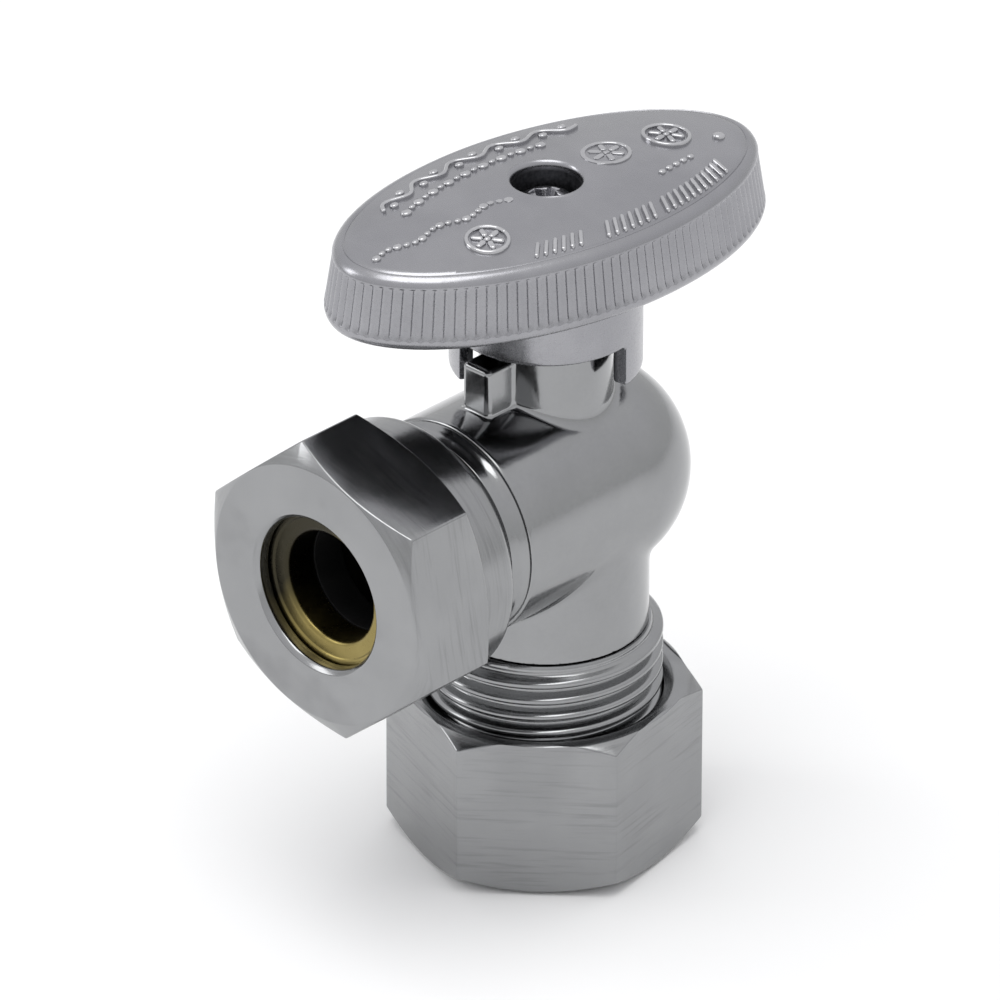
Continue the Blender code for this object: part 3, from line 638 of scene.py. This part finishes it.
def make_inside():
    for name, node, z in (("stem_ring_low", "stem_o_ring_lower", 10.9), ("stem_ring_high", "stem_o_ring_upper", 13.5)):
        piece(turned_mesh(name, circle_section(2.66, 0.55, FLOW + z), 72, sharp=60), M["rubber"], "handle_and_stem", [node])
    piece(turned_mesh("adapter_ring_seal", circle_section(7.62, 0.55, -9.45), 144, lay=True, sharp=60), M["rubber"], "valve", ["adapter_o_ring"])
    relief = 6.4
    for name, node, sign in (("ball_seat_outlet", "outlet_seat", -1), ("ball_seat_rear", "rear_seat", 1)):
        points = [(3.9, 6.7, 0.1), (7.4, 6.7, 0.1), (7.4, 4.0, 0.1), (math.sqrt(relief**2 - 16.0), 4.0)]
        points += [(r, math.sqrt(relief**2 - r * r)) for r in np.linspace(4.9, 3.9, 6)]
        points = [(p[0], sign * p[1], *p[2:]) for p in points]
        piece(turned_mesh(name, points, 128, lay=True), M["ptfe"], "valve", [node])
    z = FLOW
    washer = [(3.25, z + 8.4, 0.06), (3.85, z + 8.4, 0.06), (3.85, z + 9.15, 0.06), (3.25, z + 9.15, 0.06)]
    piece(turned_mesh("stem_slip_washer", washer, 96), M["ptfe"], "handle_and_stem", ["stem_thrust_washer"])
    p, quads, normals = field_mesh("flow_ball", ball_field, (-6.8, -6.8, FLOW - 6.8), (6.8, 6.8, FLOW + 6.8), 0.2)
    piece(mesh_from("flow_ball", p, quads, normals=normals), M["chrome_bore"], "handle_and_stem", ["ball"])
    p, quads, normals = field_mesh("valve_stem", stem_field, (-4.2, -4.2, FLOW + 4.5), (4.2, 4.2, FLOW + 23.9), 0.16)
    piece(mesh_from("valve_stem", p, quads, normals=normals), M["brass_z"], "handle_and_stem", ["stem"])


def turned_to(p, degrees):
    """x and y in axes turned by degrees about Z."""
    a = math.radians(degrees)
    c, s = math.cos(a), math.sin(a)
    return p[..., 0] * c + p[..., 1] * s, -p[..., 0] * s + p[..., 1] * c


def ball_field(p):
    z = p[..., 2] - FLOW
    r = np.hypot(p[..., 0], p[..., 1])
    ball = smax(np.sqrt(r * r + z * z) - 6.29, np.abs(z) - 6.2, 0.1)
    down = capped(r - 3.8, z + 9.0, 10.6)
    u, v = turned_to(p, -4.6)
    side = capped(np.hypot(u, z) - 3.75, v + 9.0, 10.1)
    a, b = turned_to(p, 82.5)
    slot = np.maximum(np.abs(b) - 1.15, 4.65 - z)
    return smax(ball, -np.minimum(np.minimum(down, side), slot), 0.15)


def stem_field(p):
    z = p[..., 2] - FLOW
    r = np.hypot(p[..., 0], p[..., 1])
    a, b = turned_to(p, 82.5)
    flange = capped(r - 3.7, z - 7.45, 0.83)
    shaft = capped(r - 3.08, z - 11.9, 3.9)
    for middle in (10.9, 13.5):
        shaft = np.maximum(shaft, -np.maximum(2.02 - r, np.abs(z - middle) - 0.7))
    square = np.maximum(np.maximum(np.abs(a), np.abs(b)) - 2.13, np.abs(z - 19.4) - 3.95)
    tang = np.maximum(np.maximum(np.abs(a) - 2.88, np.abs(b) - 0.98), np.abs(z - 6.1) - 1.15)
    solid = smin(smin(np.minimum(flange, shaft), square, 0.1), tang, 0.1)
    hole = capped(r - 1.7, z - 20.5, 5.0)
    return smax(solid, -hole, 0.1)


# ---------------------------------------------------------------- handle
H_TURN = math.radians(82.5)
H_A, H_B, H_POWER = 22.3, 12.08, 1.93
FLUTES = 116
FLUTE_DEPTH = 0.21
RIM_INSET, RIM_Z, CROWN = 1.5, 27.86, 1.42
SKIN = 0.055  # keeps the fine outline inside the CAD's polygon


def oval_at(angle, inset):
    """The handle's outline; inset may be an array over the angles."""
    c, s = np.cos(angle), np.sin(angle)
    power = 2 / H_POWER
    return (
        (H_A - SKIN - inset) * np.sign(c) * np.abs(c) ** power,
        (H_B - SKIN - inset) * np.sign(s) * np.abs(s) ** power,
    )


def top_height(x, y):
    """The crowned top's height at handle coordinates."""
    a, b = H_A - SKIN - RIM_INSET, H_B - SKIN - RIM_INSET
    q = ((np.abs(x) / a) ** H_POWER + (np.abs(y) / b) ** H_POWER) ** (1 / H_POWER)
    return RIM_Z + CROWN * (1 - np.minimum(q, 1.0) ** 1.92)


def handle_columns():
    """Outline angles spaced evenly along the edge, eight to each flute, with the dense angles and their run along the
    edge.
    """
    dense = np.linspace(0, TAU, 40001)
    x, y = oval_at(dense, 0.0)
    run = np.concatenate([[0], np.cumsum(np.hypot(np.diff(x), np.diff(y)))])
    count = FLUTES * 8
    angle = np.interp(np.arange(count) / count * run[-1], run, dense)
    return angle, dense, run


# The stop window's edges, from +X in the frame's own axes.
WINDOW = (-108.3, 9.1)
HUB_R, SKIRT_R = 8.3, 7.0
SKIRT_Z, WINDOW_Z = 11.6, 15.4


def make_handle():
    angle, dense, run = handle_columns()
    edges = []
    for edge, way in ((WINDOW[0], 1), (WINDOW[1], -1)):
        base = math.radians(edge) - H_TURN
        for away in (-0.34, -0.27, -0.17, -0.06, 0.0, 0.012, 0.08, 0.2, 0.36, 0.5):
            edges.append((base + way * away / 7.6) % TAU)
    # The hub's columns lie at polar angles, and the outline's at its own parameter; the two are matched by the polar angle of the outline's point.
    x, y = oval_at(dense, 0.0)
    polar = np.unwrap(np.arctan2(y, x))
    extra = np.interp(np.array(edges), polar, dense)
    angle = np.sort(np.concatenate([angle, extra]))
    theta = np.interp(angle, dense, polar)
    s = np.interp(angle, dense, run) / run[-1] * FLUTES
    flute = 1.0 - np.abs(np.sin(math.pi * s)) ** 0.85

    def outline(inset, z):
        u, v = oval_at(angle, inset)
        return np.stack([u, v, np.broadcast_to(z, u.shape)], -1)

    def round_ring(r, z):
        return np.stack([r * np.cos(theta), r * np.sin(theta), np.broadcast_to(z, theta.shape)], -1)

    def side(z):
        return np.interp(z, [21.35, 22.3, 27.0], [0.12, 0.0, 0.75])

    rows = []
    # Outside from the bottom up: a rounded bead, the flutes, then the smooth bevel.
    for inset, z in ((0.95, 21.35), (0.62, 21.35), (0.42, 21.42), (0.24, 21.58), (0.10, 21.82), (0.02, 22.08), (0.02, 22.22)):
        rows.append(outline(inset, z))
    for z in (22.33, 22.38, 22.45, 22.53, 22.62, 22.74, 22.9, 23.4, 24.2, 25.0, 25.8, 26.3, 26.5, 26.6, 26.7, 26.8, 26.88):
        bottom = np.clip((z - 22.3) / 0.6, 0, 1)
        top = np.clip((26.9 - z) / 0.34, 0, 1)
        depth = FLUTE_DEPTH * math.sqrt(bottom * (2 - bottom)) * math.sqrt(top * (2 - top))
        rows.append(outline(side(z) + 0.03 * min(1, bottom) + depth * flute, z))
    for inset, z in ((0.74, 26.96), (0.735, 27.05), (0.79, 27.18), (0.90, 27.38), (1.05, 27.55), (1.24, 27.69), (1.42, 27.79), (1.56, 27.84)):
        rows.append(outline(inset, z))
    # A fine groove inside the bevel, then the crowned top to the lip of the screw's hole.
    for inset, z in ((1.64, 27.86), (1.70, 27.82), (1.78, 27.80), (1.86, 27.84)):
        rows.append(outline(inset, z))
    ox, oy = oval_at(angle, 1.95)
    hx, hy = 3.54 * np.cos(theta), 3.54 * np.sin(theta)
    for share in (0.0, 0.03, 0.08, 0.16, 0.26, 0.38, 0.5, 0.62, 0.74, 0.84, 0.92, 0.97, 1.0):
        u, v = ox + (hx - ox) * share, oy + (hy - oy) * share
        rows.append(np.stack([u, v, top_height(u, v)], -1))
    lip = [(3.42, 29.22), (3.31, 29.19), (3.21, 29.13), (3.12, 29.04), (3.05, 28.92), (3.01, 28.78), (3.0, 28.62), (3.0, 26.8), (3.0, 25.3)]
    lip += [(2.96, 25.26), (1.85, 25.26), (1.8, 25.2), (1.8, 23.7)]
    for r, z in lip:
        rows.append(round_ring(r, z))
    half = 2.27
    reach = half / np.maximum(np.abs(np.cos(theta)), np.abs(np.sin(theta)))
    for z in (23.7, 16.2):
        rows.append(np.stack([reach * np.cos(theta), reach * np.sin(theta), np.full_like(theta, z)], -1))
    # The skirt, whose lower edge is raised along the stop window.
    here = np.degrees(theta + H_TURN)
    middle = (WINDOW[0] + WINDOW[1]) / 2
    half_span = (WINDOW[1] - WINDOW[0]) / 2
    off = (here - middle + 180) % 360 - 180
    inside = (half_span - np.abs(off)) * math.pi / 180 * 7.6  # mm within the window's edge
    up = np.zeros_like(inside)
    convex = (inside > -0.34) & (inside <= 0.0)
    up[convex] = 0.34 - np.sqrt(np.maximum(0.34**2 - (inside[convex] + 0.34) ** 2, 0))
    tall = WINDOW_Z - SKIRT_Z
    concave = (inside > 0.0) & (inside < 0.5)
    t = np.clip(inside[concave] / 0.5, 0, 1)
    up[concave] = tall - 0.5 + 0.5 * np.sqrt(np.maximum(1 - (1 - t) ** 2, 0))
    up[inside >= 0.5] = tall
    edge = SKIRT_Z + up
    rows.append(round_ring(SKIRT_R - 0.1, 16.2))
    rows.append(round_ring(SKIRT_R, 16.1))
    rows.append(round_ring(SKIRT_R, np.maximum(edge, 15.45) + 0.12))
    for r, z in ((SKIRT_R, 0.22), (SKIRT_R + 0.04, 0.09), (SKIRT_R + 0.14, 0.01), (SKIRT_R + 0.26, 0.0), (HUB_R - 0.36, 0.0), (HUB_R - 0.2, 0.03), (HUB_R - 0.08, 0.12), (HUB_R - 0.02, 0.26), (HUB_R, 0.45)):
        rows.append(round_ring(r, edge + z))
    for r, z in ((HUB_R, 16.4), (HUB_R, 20.0), (HUB_R, 23.6), (HUB_R + 0.06, 24.6), (HUB_R + 0.3, 25.4), (HUB_R + 0.75, 25.9), (HUB_R + 1.4, 26.17)):
        rows.append(round_ring(r, z))
    hx, hy = (HUB_R + 1.6) * np.cos(theta), (HUB_R + 1.6) * np.sin(theta)
    ix, iy = oval_at(angle, 2.9)
    for share in (0.0, 0.35, 0.7, 1.0):
        # The hollow's ceiling keeps the hub's fillet clear of the narrow sides.
        u, v = hx + (ix - hx) * share, hy + (iy - hy) * share
        near = np.hypot(u, v)
        limit = np.hypot(ix, iy)
        over = near > limit
        u, v = np.where(over, ix * 0.999, u), np.where(over, iy * 0.999, v)
        rows.append(np.stack([u, v, np.full_like(u, 26.2 if share < 0.9 else 26.16)], -1))
    for inset, z in ((2.55, 26.02), (2.36, 25.7), (2.3, 25.2), (1.85, 22.3), (1.75, 21.5), (1.62, 21.38), (1.45, 21.35)):
        rows.append(outline(inset, z))
    grid = np.array(rows)
    n = len(angle)
    c, si = math.cos(H_TURN), math.sin(H_TURN)
    flat = grid.reshape(-1, 3)
    verts = np.stack([flat[:, 0] * c - flat[:, 1] * si, flat[:, 0] * si + flat[:, 1] * c, flat[:, 2] + FLOW], -1)
    mesh = mesh_from("handle_oval", verts, grid_faces(len(rows), n, True), sharp=40)
    piece(mesh, M["handle"], "handle_and_stem", ["handle"])


def make_handle_material():
    """Satin plate outside; the hollow underneath, the skirt's inside and the screw's hole are dull casting whose
    near-black colour is painted shade.
    """
    material, tree, shader = nodes_of("handle_plate")
    shader.inputs["Metallic"].default_value = 1.0
    at = tree.nodes.new("ShaderNodeTexCoord").outputs["Object"]
    split = tree.nodes.new("ShaderNodeSeparateXYZ")
    link(tree, at, split.inputs["Vector"])
    facing = tree.nodes.new("ShaderNodeNewGeometry")
    normal = tree.nodes.new("ShaderNodeSeparateXYZ")
    link(tree, facing.outputs["True Normal"], normal.inputs["Vector"])
    broad = noise(tree, at, 150.0, 3.0)
    fine = noise(tree, at, 2800.0, 3.0, 0.6)
    tone = ranged(tree, broad, 0.36, 0.64, 0.0, 1.0)
    base = mixed(tree, tone, (0.308, 0.308, 0.326), (0.346, 0.346, 0.364))
    # Under the plate: between its rim and the hub, above the rim's lower edge; and inside the skirt and the screw's hole.
    radius, _ = axis_radius(tree, at, "Z")
    high = ranged(tree, split.outputs["Z"], (FLOW + 21.5) * MM, (FLOW + 22.3) * MM, 0.0, 1.0)
    below = ranged(tree, normal.outputs["Z"], -0.55, -0.8, 0.0, 1.0)
    skirt = ranged(tree, radius, 7.1 * MM, 7.5 * MM, 1.0, 0.0)
    skirt = maths(tree, "MULTIPLY", skirt, ranged(tree, split.outputs["Z"], (FLOW + 16.5) * MM, (FLOW + 17.0) * MM, 1.0, 0.0))
    hole = ranged(tree, radius, 3.1 * MM, 3.2 * MM, 1.0, 0.0)
    hole = maths(tree, "MULTIPLY", hole, ranged(tree, split.outputs["Z"], (FLOW + 28.3) * MM, (FLOW + 28.8) * MM, 1.0, 0.0))
    hollow_shade_mask = maths(tree, "MAXIMUM", maths(tree, "MULTIPLY", high, below), maths(tree, "MAXIMUM", skirt, hole))
    # Painted shade: a near-black colour for these dull hollows.
    casting_with_painted_shade = mixed(tree, ranged(tree, fine, 0.35, 0.65, 0.0, 1.0), (0.042, 0.043, 0.047), (0.084, 0.085, 0.092))
    base = mixed(tree, hollow_shade_mask, base, casting_with_painted_shade)
    link(tree, base, shader.inputs["Base Color"])
    rough = ranged(tree, fine, 0.34, 0.66, 0.215, 0.30)
    link(tree, maths(tree, "ADD", rough, maths(tree, "MULTIPLY", hollow_shade_mask, 0.25)), shader.inputs["Roughness"])
    bumped(
        tree,
        shader,
        [(fine, 0.12, 0.000012), (noise(tree, at, 700.0, 3.0), 0.03, 0.00006), (noise(tree, at, 200.0, 2.0), 0.06, 0.0004)],
    )
    return material


M["handle"] = make_handle_material()


# ---------------------------------------------------------------- raised marks on the handle
def pad_mesh_parts(path, width, height, ends=5, sunk=0.12):
    """A rounded raised bar along a path of handle coordinates, laid on the crowned top."""
    path = np.array(path, float)
    steps = np.linalg.norm(np.diff(path, axis=0), axis=1)
    run = np.concatenate([[0], np.cumsum(steps)])
    count = max(3, int(run[-1] / 0.22) + 2)
    where = np.linspace(0, run[-1], count)
    mid = np.stack([np.interp(where, run, path[:, k]) for k in (0, 1)], -1)
    way = np.gradient(mid, axis=0)
    way /= np.linalg.norm(way, axis=1, keepdims=True)
    side = np.stack([-way[:, 1], way[:, 0]], -1)
    half = width / 2
    # Ends: the section shrinks round a half circle.
    stations = []
    for k in range(ends, 0, -1):
        a = k / ends * math.pi / 2 * 0.97
        stations.append((mid[0] - way[0] * half * math.sin(a), side[0], math.cos(a)))
    for m, sd in zip(mid, side):
        stations.append((m, sd, 1.0))
    for k in range(1, ends + 1):
        a = k / ends * math.pi / 2 * 0.97
        stations.append((mid[-1] + way[-1] * half * math.sin(a), side[-1], math.cos(a)))
    # The section, from one foot over the top to the other: (across, up) as shares.
    section = [(-1.0, -sunk), (-1.0, 0.25 * height), (-0.93, 0.6 * height), (-0.72, 0.88 * height), (-0.35, height), (0.0, 1.02 * height)]
    section += [(-a, b) for a, b in section[::-1][1:]]
    verts, quads = [], []
    n = len(section)
    for at, sd, share in stations:
        tall = math.sqrt(max(share, 0.0)) if share < 1 else 1.0
        for a, b in section:
            q = at + sd * half * share * a
            up = b * tall if b > 0 else b
            verts.append((q[0], q[1], float(top_height(q[0], q[1])) + up))
    for k in range(len(stations) - 1):
        for m in range(n):
            quads.append((k * n + m, k * n + (m + 1) % n, (k + 1) * n + (m + 1) % n, (k + 1) * n + m))
    caps = [list(range(n)), list(range((len(stations) - 1) * n, len(stations) * n))]
    return verts, quads, caps


def bead(u, v, size, height):
    """A raised dot."""
    return [(u - 0.06, v), (u + 0.06, v)], size, height


def oval_ring(u, v, half_u, half_v, width, height, start=0.0, end=352.0):
    angle = np.radians(np.linspace(start, end, max(8, int((end - start) / 9))))
    return np.stack([u + half_u * np.cos(angle), v + half_v * np.sin(angle)], -1), width, height


def rosette(u, v, half_u, half_v, height):
    """A raised oval frame with six petals about a dot."""
    bars = [oval_ring(u, v, half_u, half_v, 0.4, height)]
    for k in range(6):
        a = k * TAU / 6 + 0.26
        c, t = math.cos(a), math.sin(a)
        bars.append(([(u + half_u * 0.34 * c, v + half_v * 0.34 * t), (u + half_u * 0.66 * c, v + half_v * 0.66 * t)], 0.52, height))
    bars.append(bead(u, v, 0.5, height))
    return bars


def outline_run(start, end, inset, upper):
    """Places along the outline at an inset, between two places on the handle's long axis, as (run, x, y) and the run's two ends."""
    t = np.linspace(0, math.pi, 1801)[::-1] if upper else np.linspace(math.pi, TAU, 1801)
    x, y = oval_at(t, inset)
    run = np.concatenate([[0], np.cumsum(np.hypot(np.diff(x), np.diff(y)))])
    first, last = np.interp([start, end], x, run)
    return run, x, y, first, last


def vine(start, end, inset, pitch, swing, height):
    """A wavy stem along the outline's far side with a berry in each bend."""
    run, x, y, first, last = outline_run(start, end, inset, True)

    def at(s, off):
        p = np.array([np.interp(s, run, x), np.interp(s, run, y)])
        q = np.array([np.interp(s + 0.1, run, x), np.interp(s + 0.1, run, y)])
        way = (q - p) / np.linalg.norm(q - p)
        return p + off * np.array([-way[1], way[0]]), way

    count = max(2, int((last - first) / pitch)) * 2
    reach = (last - first) / count
    places = np.linspace(first, last, count * 8 + 1)
    bars = [(np.array([at(s, swing * math.sin((s - first) / reach * math.pi))[0] for s in places]), 0.42, height)]
    for k in range(count):
        sign = 1 if k % 2 == 0 else -1
        s = first + (k + 0.5) * reach
        middle, _ = at(s, -sign * swing * 0.7)
        bars.append(bead(middle[0], middle[1], 0.72, height))
    return bars


def rope(start, end, pitch, length, height):
    """Even slanted strokes along the outline, between two places on the handle's long axis, on the side of negative v."""
    bars = []
    run, x, y, first, last = outline_run(start, end, 2.95, False)
    for k in range(int((last - first) / pitch) + 1):
        at = first + k * pitch
        p = np.array([np.interp(at, run, x), np.interp(at, run, y)])
        q = np.array([np.interp(at + 0.1, run, x), np.interp(at + 0.1, run, y)])
        way = (q - p) / np.linalg.norm(q - p)
        inward = np.array([-way[1], way[0]])
        d = 0.86 * inward + 0.5 * way
        bars.append(([p - d * length / 2, p + d * length / 2], 0.42, height))
    return bars


def ornament():
    """A vine with berries, rosettes, rope strokes and beads, where the real handle has its maker's lettering. It spells nothing."""
    bars = []
    for u, v, half_u, half_v, height in ((6.9, 0.5, 2.1, 1.9, 0.2), (13.4, 0.4, 1.95, 2.05, 0.32), (-10.2, -4.8, 1.8, 1.8, 0.3)):
        bars += rosette(u, v, half_u, half_v, height)
    bars += vine(-13.6, 8.6, 4.2, 4.4, 0.6, 0.32)
    run, x, y, first, last = outline_run(-12.6, 3.6, 6.5, True)
    for k, at in enumerate(np.linspace(first, last, 17)):
        size = 0.9 if k % 2 == 0 else 0.5
        bars.append(bead(float(np.interp(at, run, x)), float(np.interp(at, run, y)), size, 0.28))
    for k in range(19):  # a fine row of beads towards the oval's near end
        u = -19.0 + k * 0.78
        bars.append(bead(u, -0.9 + 0.35 * math.sin(k * 0.9), 0.5 if k % 3 else 0.72, 0.26))
    bars += rope(-7.6, -2.6, 0.85, 1.45, 0.3)
    bars += rope(-0.6, 4.8, 0.85, 1.65, 0.32)
    bars += rope(6.0, 14.4, 0.85, 1.6, 0.32)
    for k in range(5):
        bars.append(bead(8.9 + 0.95 * k, -4.6 + 0.22 * k, 0.55, 0.26))
    bars.append(bead(17.3, -1.9, 1.0, 0.36))
    return bars


def make_marks():
    verts, quads, caps = [], [], []
    for path, width, height in ornament():
        v, q, c = pad_mesh_parts(path, width, height)
        base = len(verts)
        verts += v
        quads += [tuple(base + i for i in f) for f in q]
        caps += [[base + i for i in f] for f in c]
    v = np.array(verts)
    v[:, 2] = np.minimum(v[:, 2], 29.235)  # no higher than the CAD's top
    c, t = math.cos(H_TURN), math.sin(H_TURN)
    v = np.stack([v[:, 0] * c - v[:, 1] * t, v[:, 0] * t + v[:, 1] * c, v[:, 2] + FLOW], -1)
    mesh = mesh_from("handle_raised_ornament", v, quads, caps=caps, sharp=60)
    piece(mesh, M["marks"], "handle_and_stem")


# Painted highlight: the raised ornament is a brighter copy of the handle's plate, standing in for its glints.
M["marks"] = metal("ornament_plate_painted_highlight", (0.53, 0.53, 0.545), (0.45, 0.45, 0.465), 0.15, 0.04, grain_depth=0.2)


# ---------------------------------------------------------------- handle screw
def screw_field(p):
    z = p[..., 2] - FLOW
    r = np.hypot(p[..., 0], p[..., 1])
    top = np.sqrt(r * r + (z - 23.45) ** 2) - 4.4  # a shallow dome over the head
    head = smax(smax(r - 2.65, top, 0.5), 25.42 - z, 0.15)
    shank = np.maximum(r - 1.5, np.abs(z - 21.3) - 4.3)
    # A cross recess whose arms taper inwards.
    a, b = turned_to(p, 102.5)
    deep = np.clip((27.9 - z) / 1.3, 0.0, 1.0)
    arm, wide = 1.75 - 0.75 * deep, 0.42 - 0.14 * deep
    cross = np.minimum(np.maximum(np.abs(a) - arm, np.abs(b) - wide), np.maximum(np.abs(b) - arm, np.abs(a) - wide))
    cross = np.maximum(np.minimum(cross, r - (0.95 - 0.5 * deep)), 26.5 - z)
    return smax(np.minimum(head, shank), -cross, 0.12)


def make_screw():
    p, quads, normals = field_mesh("handle_screw_head", screw_field, (-2.9, -2.9, FLOW + 16.7), (2.9, 2.9, FLOW + 28.2), 0.085)
    piece(mesh_from("handle_screw_head", p, quads, normals=normals), M["screw"], "handle_and_stem", ["handle_screw"])


# ---------------------------------------------------------------- floor, light, camera
def make_stage():
    size = 1.6
    mesh = bpy.data.meshes.new("studio_floor")
    mesh.from_pydata([(-size, -size, -0.0002), (size, -size, -0.0002), (size, size, -0.0002), (-size, size, -0.0002)], [], [(0, 1, 2, 3)])
    floor = bpy.data.objects.new("studio_floor", mesh)
    bpy.context.scene.collection.objects.link(floor)
    material, tree, shader = nodes_of("studio_floor")
    at = tree.nodes.new("ShaderNodeTexCoord").outputs["Object"]
    link(tree, mixed(tree, noise(tree, at, 30.0, 3.0), (0.90, 0.90, 0.90), (0.92, 0.92, 0.92)), shader.inputs["Base Color"])
    shader.inputs["Roughness"].default_value = 0.9
    shader.inputs["Specular IOR Level"].default_value = 0.1
    mesh.materials.append(material)

    world = bpy.data.worlds.new("studio")
    bpy.context.scene.world = world
    world.use_nodes = True
    tree = world.node_tree
    background = tree.nodes["Background"]
    at = tree.nodes.new("ShaderNodeTexCoord").outputs["Generated"]
    split = tree.nodes.new("ShaderNodeSeparateXYZ")
    link(tree, at, split.inputs["Vector"])
    ramp = tree.nodes.new("ShaderNodeValToRGB")
    stops = ramp.color_ramp
    stops.elements[0].position, stops.elements[0].color = 0.0, (0.50, 0.50, 0.50, 1)
    stops.elements[1].position, stops.elements[1].color = 1.0, (0.95, 0.95, 0.95, 1)
    for place, shade in ((0.5, (0.72, 0.725, 0.725)), (0.66, (0.80, 0.80, 0.81)), (0.78, (0.84, 0.84, 0.86))):
        stop = stops.elements.new(place)
        stop.color = (*shade, 1)
    link(tree, ranged(tree, split.outputs["Z"], -1.0, 1.0, 0.0, 1.0), ramp.inputs["Fac"])
    link(tree, ramp.outputs["Color"], background.inputs["Color"])
    background.inputs["Strength"].default_value = 1.06

    def area(name, at, target, size, energy, colour=(1, 1, 1)):
        data = bpy.data.lights.new(name, "AREA")
        data.shape = "RECTANGLE"
        data.size, data.size_y = size
        data.energy = energy
        data.color = colour
        obj = bpy.data.objects.new(name, data)
        obj.location = Vector(at)
        obj.rotation_euler = (Vector(target) - Vector(at)).to_track_quat("-Z", "Y").to_euler()
        bpy.context.scene.collection.objects.link(obj)
        return obj

    area("overhead", (0.05, -0.12, 0.62), (0, 0, 0.03), (0.4, 0.4), 1.25)
    area("left_fill", (-0.45, -0.35, 0.35), (0, 0, 0.03), (0.2, 0.3), 0.5)


def make_camera():
    az, el, roll = math.radians(43.954), math.radians(29.395), math.radians(0.138)
    distance, focal, tx, ty = 1180.63, 13771.4, -3.882, -1.849
    back = Vector((math.sin(az) * math.cos(el), -math.cos(az) * math.cos(el), math.sin(el)))
    right = Vector((math.cos(az), math.sin(az), 0.0))
    up = back.cross(right)
    r = math.cos(roll) * right + math.sin(roll) * up
    u = -math.sin(roll) * right + math.cos(roll) * up
    data = bpy.data.cameras.new("camera")
    data.sensor_width = 36.0
    data.lens = focal * 36.0 / 1000
    data.clip_start, data.clip_end = 0.05, 20.0
    camera = bpy.data.objects.new("camera", data)
    bpy.context.scene.collection.objects.link(camera)
    place = (Vector((0, 0, FLOW)) + tx * r + ty * u + distance * back) * MM
    camera.matrix_world = Matrix(
        ((r.x, u.x, back.x, place.x), (r.y, u.y, back.y, place.y), (r.z, u.z, back.z, place.z), (0, 0, 0, 1))
    )
    bpy.context.scene.camera = camera


# ---------------------------------------------------------------- the whole
make_camera()
make_stage()
bpy.context.scene.view_settings.view_transform = "Standard"
bpy.context.scene.view_settings.look = "None"
make_body()
make_adapter()
make_inlet_nut()
make_outlet_nut()
make_packing()
make_inside()
make_handle()
make_marks()
make_screw()
